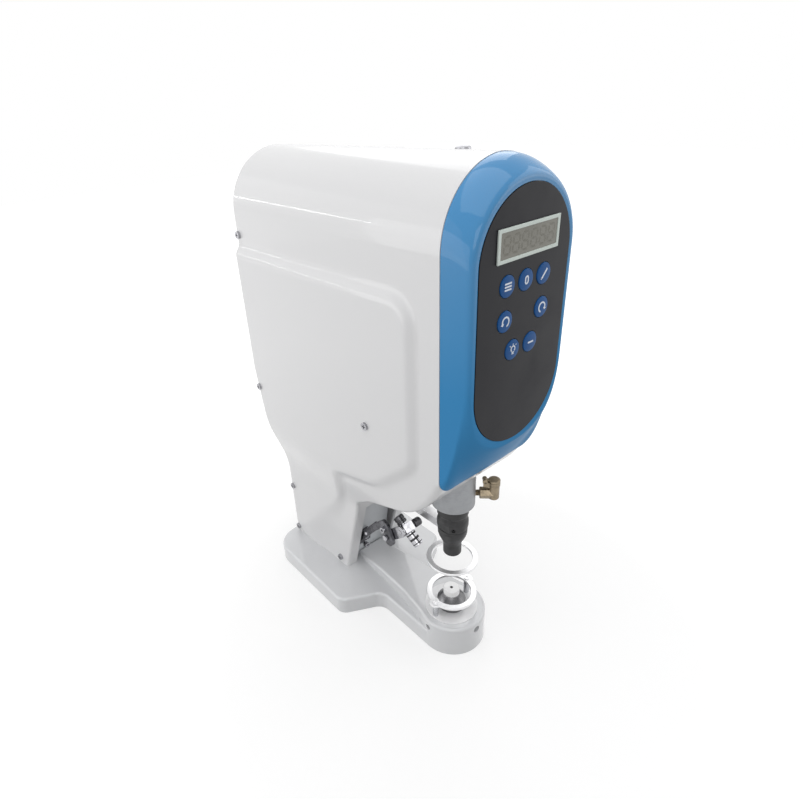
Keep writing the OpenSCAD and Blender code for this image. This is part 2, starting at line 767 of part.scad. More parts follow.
module motor_mount() {
  cheek = 6;
  color([0.42, 0.43, 0.45]) difference() {
    union() {
      for (k = [-1, 1]) box(k == 1 ? block_hw - cheek : -block_hw, k == 1 ? block_hw : cheek - block_hw,
        -block_y, block_y, arm_top, mount_top);
      box(-block_hw, block_hw, -block_y, block_y, mount_top - mount_plate, mount_top);
      box(-block_hw, block_hw, -20, 20, bearing_z - 2, bearing_z + bearing_l);
    }
    rod([0, 0, mount_top - 20], "z", coupling_r + 3, 40);
    rod([0, 0, bearing_z], "z", bearing_r, 20);
    rod([0, 0, 0], "z", bearing_r - 3, bearing_z + 1);
  }
}
module servo_motor() {
  color([0.14, 0.14, 0.15]) difference() {
    union() {
      box(-motor_hw, motor_hw, -motor_hw, motor_hw, mount_top, mount_top + 8);
      box(-motor_hw + 1.5, motor_hw - 1.5, -motor_hw + 1.5, motor_hw - 1.5, mount_top + 8, mount_top + motor_l);
      box(-20, 20, -20, 20, mount_top + motor_l, mount_top + motor_l + motor_cap);
      box(-9, 9, motor_hw - 1.5, motor_hw + 10, mount_top + 12, mount_top + 30);
    }
    rod([0, 0, 0], "z", shaft_r + run_fit, mount_top + 8);
  }
}

// Finger guard: a ring on an arm that slides on a rod behind the punch.
arm_rise = 15;
arm_lo = guard_z + arm_rise;
arm_h = 10;
arm_hw = 5;
stem_y = 16;
stem_t = 8;
arm_end = 3;
module guard_ring() {
  color([0.90, 0.90, 0.91]) difference() {
    rod([0, 0, guard_z], "z", ring_r, ring_t);
    rod([0, 0, 0], "z", ring_in, 300);
  }
}
module guard_arm() {
  color([0.78, 0.78, 0.79]) difference() {
    union() {
      intersection() {
        box(rod_x - arm_hw, rod_x + arm_hw, stem_y, stem_y + stem_t, guard_z + ring_t,
          arm_lo + 1);
        rod([0, 0, 0], "z", ring_r, 300);
      }
      box(rod_x - arm_hw, rod_x + arm_hw, stem_y, rod_y + rod_r + arm_end, arm_lo,
        arm_lo + arm_h);
    }
    rod([rod_x, rod_y, 0], "z", rod_r, 300);
  }
}
module guard_rod() {
  color([0.84, 0.84, 0.86]) rod([rod_x, rod_y, arm_lo], "z", rod_r, rod_top - arm_lo);
}
module guard_bush() {
  color([0.72, 0.56, 0.28]) difference() {
    rod([rod_x, rod_y, bush_z0], "z", bush_r, bush_z1 - bush_z0);
    rod([rod_x, rod_y, 0], "z", rod_r + run_fit, 400);
  }
}

// Oil cup: an elbow screwed into the housing, with a lid on a small hinge.
cup_turn = -45;
cup_r = 5.2;
cup_reach = housing_r + 17;
cup_top = cup_z + 13.5;
hex_r = 5.8;
lid_t = 3;
pin_r = 1;
knuckle_r = 2.3;
hinge_x = cup_reach - cup_r - knuckle_r - 1.2;
hinge_z = cup_top + 1.2;
module oil_cup() {
  color([0.66, 0.54, 0.32]) rotate([0, 0, cup_turn]) difference() {
    union() {
      rod([housing_r - 3.5, 0, cup_z], "x", cup_thread, 8);
      rod([housing_r + 3.5, 0, cup_z], "x", hex_r, cup_reach - housing_r - 3.5, $fn = 6);
      rod([cup_reach, 0, cup_z - cup_r], "z", cup_r, cup_top - cup_z + cup_r);
      for (k = [-1, 1]) rod([hinge_x, k * 2.6 - 0.9, hinge_z], "y", knuckle_r, 1.8);
      for (k = [-1, 1]) box(hinge_x - knuckle_r + 0.3, cup_reach, k * 2.6 - 0.9, k * 2.6 + 0.9, cup_z + 4, cup_top - 0.5);
    }
    rod([cup_reach, 0, cup_z - 1], "z", cup_r - 1.6, 60);
    rod([housing_r - 8, 0, cup_z], "x", 1.2, 20);
    rod([hinge_x, -10, hinge_z], "y", pin_r, 20);
  }
}
module oil_lid() {
  color([0.70, 0.58, 0.36]) rotate([0, 0, cup_turn]) {
    rod([cup_reach, 0, cup_top + 0.1], "z", cup_r + 0.6, lid_t - 1);
    rod([cup_reach, 0, cup_top + 0.1], "z", cup_r - 0.6, lid_t);
    box(hinge_x, cup_reach, -1.4, 1.4, cup_top + 0.1, cup_top + lid_t - 0.9);
    rod([hinge_x, -1.4, hinge_z], "y", knuckle_r - 0.3, 2.8);
    rod([hinge_x, -3.6, hinge_z], "y", pin_r - run_fit, 7.2);
  }
}

// Spot lamp: a bracket on the column, a swinging arm and a clamped tube aimed at the die.
lamp_yaw = atan2(-lamp_x, lamp_y);
lamp_run = sqrt(lamp_x * lamp_x + lamp_y * lamp_y);
lamp_pitch = atan2(lamp_z - die_top, lamp_run);
joint_y = lamp_y + 17;
joint_z = lamp_z - 15;
lamp_foot_x = (pad_x0 + pad_x1) / 2;
pad_screws = [pad_z - 7, pad_z + 7];
foot_t = 5;
bar_t = 5;
bar_x1 = pad_x0 + bar_t;
arm_plate = 2.5;
plate_x0 = bar_x1 + gap;
clamp_hw = 6.5;
clamp_hh = 6;
joint_r = 2.5;
joint_head = 3.4;
knob_r = 5.2;
knob_l = 10;
knob_neck = 3;
pivot_r = 2;
cap_l = 8.5;
module lamp_aim() {
  translate([lamp_x, lamp_y, lamp_z]) rotate([0, 0, lamp_yaw]) rotate([90 + lamp_pitch, 0, 0]) children();
}
top_screw = [joint_y + 3.5, joint_z + 9.5];
module lamp_bracket() {
  color([0.40, 0.40, 0.42]) difference() {
    union() {
      box(pad_x0, pad_x1, pad_y - foot_t, pad_y, pad_z - pad_hh, pad_z + pad_hh);
      along_x(pad_x0, bar_x1) polygon(rounded([[pad_y - 1, pad_z - 11, 0], [pad_y - 1, pad_z + 9, 0],
        [joint_y + 6, joint_z + 17, 6], [joint_y - 11, joint_z - 4, 6]], 5));
    }
    for (z = pad_screws) rod([lamp_foot_x, pad_y - 10, z], "y", screw_r + gap, 20);
    rod([pad_x0 - 1, joint_y, joint_z], "x", joint_r + run_fit, bar_t + 2);
    rod([pad_x0 - 1, top_screw.x, top_screw.y], "x", screw_r, bar_t);
  }
}
module lamp_bracket_screws() {
  color([0.60, 0.60, 0.62]) {
    for (z = pad_screws)
      translate([lamp_foot_x, pad_y - foot_t, z]) rotate([90, 0, 0]) socket_screw(3.5, 4, screw_r, 14);
    translate([pad_x0, top_screw.x, top_screw.y]) rotate([0, -90, 0])
      socket_screw(joint_head, 3.4, screw_r, bar_t - 1.5);
  }
}
module lamp_arm() {
  color([0.80, 0.80, 0.82]) {
    difference() {
      along_x(plate_x0, plate_x0 + arm_plate) hull() {
        translate([joint_y, joint_z]) circle(r = 6.5, $fn = 32);
        translate([lamp_y, lamp_z]) circle(r = 6.5, $fn = 32);
      }
      rod([plate_x0 - 1, lamp_y, lamp_z], "x", pivot_r + run_fit, 10);
    }
    rod([pad_x0 - joint_head, joint_y, joint_z], "x", joint_r, plate_x0 + 1 - pad_x0 + joint_head);
    rod([pad_x0 - joint_head, joint_y, joint_z], "x", joint_head, joint_head - gap);
  }
}
module lamp_clamp() {
  color([0.84, 0.84, 0.86]) difference() {
    union() {
      translate([lamp_x, lamp_y, lamp_z]) rotate([90 + lamp_pitch, 0, 0])
        translate([-clamp_hw, -clamp_hh, -5]) cube([2 * clamp_hw, 2 * clamp_hh, 10]);
      rod([plate_x0 - gap, lamp_y, lamp_z], "x", pivot_r, lamp_x - clamp_hw - plate_x0 + gap + 1);
    }
    lamp_aim() translate([0, 0, -50]) cylinder(r = tube_r, h = 100);
    rod([lamp_x + tube_r + 1, lamp_y, lamp_z], "x", pivot_r + run_fit, 10);
  }
}
module lamp_tube() {
  color([0.80, 0.80, 0.82]) lamp_aim() {
    translate([0, 0, -8]) cylinder(r = tube_r, h = tube_l - 4);
    translate([0, 0, tube_l - 16]) cylinder(r = tube_r + 0.9, h = 8);
  }
}
module lamp_cap() {
  color([0.12, 0.12, 0.12]) lamp_aim() translate([0, 0, -15]) difference() {
    cylinder(r = tube_r + 1.2, h = cap_l);
    translate([0, 0, 7]) cylinder(r = tube_r, h = 10);
  }
}
module clamp_knob() {
  knob_x = lamp_x + clamp_hw + gap;
  color([0.15, 0.15, 0.15]) {
    rod([lamp_x + tube_r + 1.3, lamp_y, lamp_z], "x", pivot_r, knob_x - lamp_x - tube_r - 1);
    rod([knob_x, lamp_y, lamp_z], "x", 3, knob_neck);
    rod([knob_x + knob_neck, lamp_y, lamp_z], "x", knob_r, knob_l);
  }
}

// Drive electronics and the sockets at the back.
switch_w = 13;
switch_h = 19;
switch_z = 92;
inlet_w = 27;
inlet_h = 20;
inlet_z = 62;
socket_r = 8;
socket_z = 122;
drive_hw = 30;
drive_y = 44;
drive_l = 78;
drive_h = 110;
fin_n = 7;
fin_step = 11;
module servo_drive() {
  color([0.55, 0.56, 0.58]) {
    box(-drive_hw, drive_hw, drive_y, drive_y + drive_l, arm_top, arm_top + drive_h);
    for (i = [0:fin_n - 1]) box(-drive_hw, drive_hw, drive_y + 2 + fin_step * i, drive_y + 5 + fin_step * i,
      arm_top + drive_h, arm_top + drive_h + 8);
  }
}
module power_inlet() {
  color([0.10, 0.10, 0.10]) difference() {
    union() {
      box(-inlet_w / 2, inlet_w / 2, column_rear - 13, column_rear - 1, inlet_z - inlet_h / 2, inlet_z + inlet_h / 2);
      box(-inlet_w / 2 - 4, inlet_w / 2 + 4, column_rear - 1, column_rear + 1, inlet_z - inlet_h / 2 - 3,
        inlet_z + inlet_h / 2 + 3);
    }
    difference() {
      box(-12, 12, column_rear - 11, column_rear + 3, inlet_z - 8, inlet_z + 8);
      for (x = [-7, 0, 7]) box(x - 1, x + 1, column_rear - 12, column_rear - 1, inlet_z - 3 + (x == 0 ? 3 : 0),
        inlet_z + 3 + (x == 0 ? 3 : 0));
    }
  }
}
rocker_hw = 4.6;
rocker_hh = 7.6;
module power_switch() {
  color([0.12, 0.12, 0.12]) difference() {
    union() {
      box(-switch_w / 2, switch_w / 2, column_rear - 13, column_rear - 1, switch_z - switch_h / 2,
        switch_z + switch_h / 2);
      box(-switch_w / 2 - 1.5, switch_w / 2 + 1.5, column_rear - 1, column_rear + 1, switch_z - switch_h / 2 - 1.5,
        switch_z + switch_h / 2 + 1.5);
    }
    box(-rocker_hw, rocker_hw, column_rear - 7, column_rear + 3, switch_z - rocker_hh, switch_z + rocker_hh);
    rod([-rocker_hw - 1.2, column_rear - 2, switch_z], "x", 1 + run_fit, 2 * rocker_hw + 2.4);
  }
}
rocker_tilt = 8;
module power_rocker() {
  color([0.16, 0.16, 0.16]) translate([0, column_rear - 2, switch_z]) rotate([-rocker_tilt, 0, 0]) {
    along_x(gap - rocker_hw, rocker_hw - gap) polygon([[-3.4, -6.8], [3.4, -6.8], [2.4, 0], [3.4, 6.8], [-3.4, 6.8]]);
    rod([-rocker_hw - 1, 0, 0], "x", 1, 2 * rocker_hw + 2);
  }
}
module pedal_socket() {
  color([0.70, 0.71, 0.73]) difference() {
    union() {
      rod([0, column_rear - 14, socket_z], "y", socket_r, 14);
      rod([0, column_rear - 1, socket_z], "y", socket_r + 2, 3);
    }
    rod([0, column_rear - 9, socket_z], "y", socket_r - 2, 20);
  }
}

base();
die_plate();
lower_die();
die_set_screws();
lower_ring();
ring_posts();
ring_screws();
frame();
frame_bolts();
ram_housing();
lower_bush();
upper_bush();
ram();
punch_holder();
punch();
punch_set_screw();
drive_nut();
drive_screw();
screw_coupling();
motor_shaft();
screw_bearing();
motor_mount();
servo_motor();
guard_ring();
guard_arm();
guard_rod();
guard_bush();
oil_cup();
oil_lid();
lamp_bracket();
lamp_bracket_screws();
lamp_arm();
lamp_clamp();
lamp_tube();
lamp_cap();
clamp_knob();
left_cover();
right_cover();
rear_panel();
front_cover();
fascia();
display_bezel();
display_window();
control_board();
key_menu();
key_zero();
key_edit();
key_back();
key_forward();
key_lamp();
key_minus();
side_screws();
crown_screw();
servo_drive();
power_inlet();
power_switch();
power_rocker();
pedal_socket();
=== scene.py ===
"""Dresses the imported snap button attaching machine: casing, control panel, press tools, lamp and studio."""
import json
import math

import bpy
import numpy as np
from mathutils import Matrix, Vector


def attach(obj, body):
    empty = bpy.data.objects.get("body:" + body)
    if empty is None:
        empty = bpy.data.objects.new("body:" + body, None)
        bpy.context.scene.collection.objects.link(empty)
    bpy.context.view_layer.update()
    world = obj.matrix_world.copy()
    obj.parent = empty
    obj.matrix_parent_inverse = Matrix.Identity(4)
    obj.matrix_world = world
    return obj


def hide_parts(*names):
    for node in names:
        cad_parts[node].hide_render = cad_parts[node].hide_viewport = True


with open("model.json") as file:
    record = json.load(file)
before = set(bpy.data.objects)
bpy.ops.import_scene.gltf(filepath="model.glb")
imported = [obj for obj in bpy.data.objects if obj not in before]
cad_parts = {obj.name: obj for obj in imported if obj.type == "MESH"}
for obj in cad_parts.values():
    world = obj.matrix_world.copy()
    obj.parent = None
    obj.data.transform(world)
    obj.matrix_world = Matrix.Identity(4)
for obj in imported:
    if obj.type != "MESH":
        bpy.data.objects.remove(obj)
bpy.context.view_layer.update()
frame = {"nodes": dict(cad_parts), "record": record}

bl_info = {
    "name": "Snap button machine",
    "version": (1, 0, 0),
    "blender": (4, 5, 0),
    "location": "View3D > Sidebar > Snap machine",
    "description": "Models the outside of a table-top snap button attaching machine around its frame",
    "category": "Object",
}

MM = 0.001
NODES = frame["nodes"]
BODY = {n: b for b, members in frame["record"]["behaviour"]["bodies"].items() for n in members}


def srgb(r, g, b):
    """A colour given in display values from 0 to 255, as linear light."""
    def one(v):
        v = v / 255
        return v / 12.92 if v <= 0.04045 else ((v + 0.055) / 1.055) ** 2.4
    return (one(r), one(g), one(b))


def amount(name, description, value, low=0, **more):
    return bpy.props.FloatProperty(name=name, description=description, default=value, min=low, **more)


def length(name, description, mm):
    return amount(name, description, mm * MM, unit="LENGTH", subtype="DISTANCE")


def colour(name, description, *display):
    return bpy.props.FloatVectorProperty(name=name, description=description, default=srgb(*display), size=3,
                                         min=0, max=1, subtype="COLOR")


class CasingSizes(bpy.types.PropertyGroup):
    """Sizes of the casing halves, the front cover and the base."""
    half_width: length("Half width", "Half width of the head's flat sides", 59)
    column_half: length("Column half width", "Half width of the column", 41)
    crown_z: length("Crown centre", "Height of the crown's centre line", 433)
    panel_rise: length("Panel rise", "How far the side panel stands out", 5.5)
    panel_ramp: length("Panel ramp", "Width of the slope round the side panel", 13)
    belly_edge: length("Belly edge", "Radius where the sides turn under the chin", 7)
    column_edge: length("Column edge", "Radius along the column's front", 3.2)
    rear_edge: length("Rear edge", "Radius along the back of the casing", 4)
    wall: length("Wall", "Thickness of the casing", 3)
    cover_edge: length("Cover edge", "Radius round the front cover's face", 5)
    base_edge: length("Base edge", "Radius along the top of the base", 3)


class PanelSizes(bpy.types.PropertyGroup):
    """Sizes of the control panel."""
    key_radius: length("Key radius", "Radius of a key cap", 7.9)
    key_dome: length("Key dome", "Rise of a key cap's middle", 0.35)
    mark_line: length("Mark line", "Line width of the marks on the keys", 1.25)
    digit_h: length("Digit height", "Height of a digit in the display", 12.5)
    digit_line: length("Digit line", "Line width of a digit's segments", 1.5)


class Finishes(bpy.types.PropertyGroup):
    """Colours of the finishes."""
    casing: colour("Casing", "Enamel of the casing halves", 220, 220, 221)
    rear: colour("Rear panel", "Enamel of the rear panel", 206, 208, 209)
    base: colour("Base", "Paint of the base casting", 214, 215, 217)
    frame: colour("Frame", "Paint of the frame casting", 202, 205, 208)
    cover: colour("Front cover", "Blue of the front cover", 66, 139, 192)
    fascia: colour("Fascia", "Dark film of the control panel", 33, 33, 37)
    key: colour("Keys", "Blue of the keys", 26, 82, 142)
    mark: colour("Marks", "White of the marks on the keys", 222, 228, 236)
    bezel: colour("Bezel", "Pale frame of the display", 208, 218, 212)
    window: colour("Window", "Smoked window of the display", 115, 113, 102)
    digit: colour("Digits", "Unlit segments in the display", 95, 93, 81)
    black: colour("Blackened steel", "Punch and punch holder", 52, 52, 53)
    brass: colour("Brass", "Oil cup", 156, 142, 120)


class StageSizes(bpy.types.PropertyGroup):
    """Camera and light of the studio."""
    focal: amount("Focal length", "Focal length of the camera in millimetres", 25.437, low=10)
    floor: length("Floor", "Side of the floor", 9000)
    ambient: amount("Ambient", "Strength of the even light", 0.48)
    key: amount("Key", "Power of the large lamp overhead", 9.5, unit="POWER")


# Helpers for modelling by hand in a script.
MERGE_WITHIN, FLAT_WITHIN, SHARP_OVER = 2e-6, 0.3, 32
CUTTER_SIDES, KNURL_FACETS, EDGE_SEGMENTS = 64, 48, 6
TOOL_SIDES, ROUND_SIDES, STUD_SIDES, PIN_SIDES, NUT_SIDES = 72, 56, 40, 32, 6
LOOKS_UP, LOOKS_OUT = 0.7, 0.2
SIDE_ON = Matrix(((0, 1, 0, 0), (1, 0, 0, 0), (0, 0, 1, 0), (0, 0, 0, 1)))
LAID_DOWN = Matrix(((1, 0, 0, 0), (0, 0, 1, 0), (0, 1, 0, 0), (0, 0, 0, 1)))


def idle():
    """Leaves edit mode and deselects everything."""
    if bpy.context.object and bpy.context.object.mode != "OBJECT":
        bpy.ops.object.mode_set(mode="OBJECT")
    bpy.ops.object.select_all(action="DESELECT")


def pick(piece):
    """Selects one piece alone."""
    idle()
    piece.select_set(True)
    bpy.context.view_layer.objects.active = piece


def named(name):
    """Names the new primitive and puts its place into its mesh."""
    piece = bpy.context.object
    piece.name = piece.data.name = name
    bpy.ops.object.transform_apply(location=True, rotation=True, scale=True)
    return piece


def linked(name, mesh):
    """Puts a mesh into the scene as a piece."""
    piece = bpy.data.objects.new(name, mesh)
    mesh.name = piece.name
    bpy.context.scene.collection.objects.link(piece)
    return piece


def edit(piece, mode="VERT"):
    pick(piece)
    bpy.ops.object.mode_set(mode="EDIT")
    bpy.ops.mesh.select_mode(type=mode)
    bpy.ops.mesh.select_all(action="SELECT")


def face_outwards():
    """Turns every face of the mesh in edit mode outwards, and leaves edit mode."""
    bpy.ops.mesh.select_all(action="SELECT")
    bpy.ops.mesh.normals_make_consistent(inside=False)
    idle()


def close_ends():
    """Fills the open rings of the mesh in edit mode."""
    bpy.ops.mesh.select_mode(type="EDGE")
    bpy.ops.mesh.select_all(action="DESELECT")
    bpy.ops.mesh.select_non_manifold()
    bpy.ops.mesh.edge_face_add()
    face_outwards()


def choose_faces(piece, test):
    """Selects in edit mode the faces that pass the test."""
    bpy.ops.object.mode_set(mode="OBJECT")
    mesh = piece.data
    for part in (mesh.vertices, mesh.edges):
        part.foreach_set("select", [False] * len(part))
    for face in mesh.polygons:
        face.select = bool(test(face))
    bpy.ops.object.mode_set(mode="EDIT")
    bpy.ops.mesh.select_mode(type="FACE")


def modify(piece, kind, **values):
    """Adds a modifier and applies it at once."""
    pick(piece)
    bpy.ops.object.modifier_add(type=kind)
    modifier = piece.modifiers[-1]
    for key, value in values.items():
        setattr(modifier, key, value)
    bpy.ops.object.modifier_apply(modifier=modifier.name)


def bevelled(piece, width, limit, segments=2, **more):
    """Breaks the edges that are sharper than a limit in degrees."""
    modify(piece, "BEVEL", width=width * MM, segments=segments, limit_method="ANGLE",
           angle_limit=math.radians(limit), **more)


def smooth(piece, degrees=38):
    pick(piece)
    bpy.ops.object.shade_smooth_by_angle(angle=math.radians(degrees))
    idle()
    return piece


def evened(piece, degrees=50):
    """Smooth shading whose large flat faces stay flat."""
    smooth(piece, degrees)
    modify(piece, "WEIGHTED_NORMAL", mode="FACE_AREA", weight=100, keep_sharp=True)
    return piece


def moved(x, y, z):
    """A shift in millimetres."""
    return Matrix.Translation((x * MM, y * MM, z * MM))


def spun(degrees, axis):
    """A turn about an axis through the origin."""
    return Matrix.Rotation(math.radians(degrees), 4, axis)


def placed(piece, place):
    piece.data.transform(place)
    return piece


def surface(name, points, faces):
    """A mesh whose points follow a formula."""
    mesh = bpy.data.meshes.new(name)
    mesh.from_pydata([tuple(p) for p in points], [], faces)
    mesh.update()
    return linked(name, mesh)


def strips(rows):
    """Faces between rows of points, each row a list of point numbers."""
    return [(a[i], b[i], b[i + 1], a[i + 1]) for a, b in zip(rows, rows[1:]) for i in range(len(a) - 1)]


def rows_of(height, columns):
    """The point numbers of a grid, row by row."""
    return np.arange(height * columns).reshape(height, columns).tolist()


def facing(piece, face, way):
    """Turns an open sheet over if the face of that number looks the other way."""
    if piece.data.polygons[face].normal.dot(Vector(way)) < 0:
        piece.data.flip_normals()


def turned(name, rings, sides):
    """A round piece about Z: a disc drawn out ring by ring, each a radius and a height in millimetres."""
    idle()
    radius, height = rings[0]
    bpy.ops.mesh.primitive_circle_add(vertices=sides, radius=radius * MM, fill_type="NGON",
                                      location=(0, 0, height * MM))
    piece = named(name)
    edit(piece, "FACE")
    for (r0, z0), (r1, z1) in zip(rings, rings[1:]):
        bpy.ops.mesh.extrude_region_move(TRANSFORM_OT_translate={"value": (0, 0, (z1 - z0) * MM)})
        bpy.ops.transform.resize(value=(r1 / r0, r1 / r0, 1), center_override=(0, 0, z1 * MM))
    close_ends()
    return piece


def plate(name, outline, front, depth):
    """A thin flat piece on the panel's front: a filled ring set on the outline, then drawn out backwards."""
    idle()
    bpy.ops.mesh.primitive_circle_add(vertices=len(outline), radius=MM, fill_type="NGON")
    piece = named(name)
    for vertex, (x, z) in zip(piece.data.vertices, outline):
        vertex.co = (x * MM, front * MM, z * MM)
    edit(piece, "FACE")
    bpy.ops.mesh.extrude_region_move(TRANSFORM_OT_translate={"value": (0, depth * MM, 0)})
    close_ends()
    return piece


def swapped(piece, axes):
    """Swaps two axes of a plate, and turns its faces outwards again."""
    piece.data.transform(axes)
    edit(piece, "FACE")
    face_outwards()
    return piece


def side_plate(name, outline, x0, x1):
    """A flat piece that stands along the machine: its outline is in y and z, and it reaches from x0 to x1."""
    return swapped(plate(name, outline, x0, x1 - x0), SIDE_ON)


def upright(name, outline, low, high):
    """A body whose outline is in x and y, drawn up from low to high."""
    return swapped(plate(name, outline, low, high - low), LAID_DOWN)


def block(name, low, high):
    """A box between two corners."""
    idle()
    low, high = Vector(low) * MM, Vector(high) * MM
    bpy.ops.mesh.primitive_cube_add(size=1, location=(low + high) / 2)
    bpy.context.object.scale = high - low
    return named(name)


def cut(piece, cutter):
    """Cuts one piece out of another."""
    modify(piece, "BOOLEAN", operation="DIFFERENCE", object=cutter, solver="EXACT")
    bpy.data.objects.remove(cutter)


def cut_box(piece, low, high):
    cut(piece, block("cutter", low, high))


def cut_rod(piece, radius, depth, at, turn=(0, 0, 0)):
    """Cuts a round hole about a point, along Z unless it is turned."""
    idle()
    bpy.ops.mesh.primitive_cylinder_add(vertices=CUTTER_SIDES, radius=radius * MM, depth=depth * MM,
                                        location=Vector(at) * MM, rotation=[math.radians(t) for t in turn])
    cut(piece, named("cutter"))


def round_top(piece, width):
    """Rounds the edge all round the top of a body."""
    edit(piece, "FACE")
    choose_faces(piece, lambda f: f.normal.z > LOOKS_UP)
    bpy.ops.mesh.region_to_loop()
    bpy.ops.mesh.bevel(offset=width, segments=EDGE_SEGMENTS, affect="EDGES", clamp_overlap=True)
    idle()


def knurl(piece, inner, rise):
    """Raises every other facet of a round grip, where it lies outside the inner radius."""
    def every_other(face):
        if abs(face.normal.z) >= LOOKS_OUT or face.center.xy.length <= inner * MM:
            return False
        turn = math.atan2(face.center.y, face.center.x)
        return round(turn / (2 * math.pi) * KNURL_FACETS - 0.5) % 2 == 0
    edit(piece, "FACE")
    choose_faces(piece, every_other)
    bpy.ops.mesh.extrude_region_shrink_fatten(TRANSFORM_OT_shrink_fatten={"value": -rise * MM})
    face_outwards()


def joined(name, pieces):
    first = pieces[0]
    pick(first)
    for piece in pieces[1:]:
        piece.select_set(True)
    bpy.ops.object.join()
    first.name = first.data.name = name
    idle()
    return first


def coated(mesh, look):
    """Gives a mesh one finish all over."""
    mesh.materials.clear()
    mesh.materials.append(FINISH[look])


def belongs(piece, cad, look, replaces=True):
    """Gives a piece its finish, and lets it ride and stand for a CAD node."""
    coated(piece.data, look)
    if replaces:
        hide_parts(cad)
    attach(piece, BODY[cad])


def softened(cad, width, look, name=None, segments=2):
    """A merged copy of a CAD node whose edges are broken, which stands for the node."""
    idle()
    piece = linked(name or cad + "_form", NODES[cad].data.copy())
    edit(piece)
    bpy.ops.mesh.remove_doubles(threshold=MERGE_WITHIN)
    bpy.ops.mesh.dissolve_limited(angle_limit=math.radians(FLAT_WITHIN))
    bevelled(piece, width, SHARP_OVER, segments, miter_outer="MITER_ARC")
    belongs(evened(piece), cad, look)


# Materials: four shared effects, and the finishes that use them.
FINISH = {}
GROUPS = {}
COAT_ROUGHNESS = 0.06
FACTOR, COLOUR_A, COLOUR_B, COLOUR_RESULT = 0, 6, 7, 2
SOCKET_KINDS = {3: "Vector", 4: "Color"}


def feed(tree, item, links):
    """Fills a node's inputs: each link is an input and the socket or value that it takes."""
    for key, value in links:
        if isinstance(value, bpy.types.NodeSocket):
            tree.links.new(value, item.inputs[key])
        else:
            item.inputs[key].default_value = value
    return item


def node(tree, kind, links=(), **values):
    """Adds a node with its settings and links."""
    item = tree.nodes.new("ShaderNode" + kind)
    for key, value in values.items():
        setattr(item, key, value)
    return feed(tree, item, links)


def noise(tree, place, scale, detail=1.0, rough=0.5):
    links = [("Vector", place), ("Scale", scale), ("Detail", detail), ("Roughness", rough)]
    return node(tree, "TexNoise", links).outputs["Fac"]


def spread(tree, value, low, high, to_low=0.0, to_high=1.0):
    links = [("Value", value), ("From Min", low), ("From Max", high), ("To Min", to_low), ("To Max", to_high)]
    return node(tree, "MapRange", links).outputs["Result"]


def combine(tree, operation, a, b):
    return node(tree, "Math", [(0, a), (1, b)], operation=operation).outputs[0]


def plus(tree, a, b):
    return combine(tree, "ADD", a, b)


def minus(tree, a, b):
    return combine(tree, "SUBTRACT", a, b)


def times(tree, a, b):
    return combine(tree, "MULTIPLY", a, b)


def effect(label, gloss, **own):
    """Starts a shared effect: a node group that takes a place, a colour, a gloss and its own values."""
    tree = bpy.data.node_groups.new(label, "ShaderNodeTree")
    for key, value in {"Vector": (0, 0, 0), "Colour": (1, 1, 1, 1), "Gloss": gloss, **own}.items():
        kind = SOCKET_KINDS[len(value)] if isinstance(value, tuple) else "Float"
        socket = tree.interface.new_socket(key, in_out="INPUT", socket_type="NodeSocket" + kind)
        socket.default_value = value
    given = tree.nodes.new("NodeGroupInput").outputs
    return tree, given, given["Vector"]


def put_out(tree, given, tone, roughness, height):
    """Ends a shared effect with its colour times a tone, its roughness and its height."""
    for key, kind in (("Colour", "Color"), ("Roughness", "Float"), ("Height", "Float")):
        tree.interface.new_socket(key, in_out="OUTPUT", socket_type="NodeSocket" + kind)
    toned = node(tree, "Mix", [(FACTOR, 1.0), (COLOUR_A, given["Colour"]), (COLOUR_B, tone)],
                 data_type="RGBA", blend_type="MULTIPLY").outputs[COLOUR_RESULT]
    end = tree.nodes.new("NodeGroupOutput")
    feed(tree, end, [("Colour", toned), ("Roughness", roughness), ("Height", height)])
    return tree


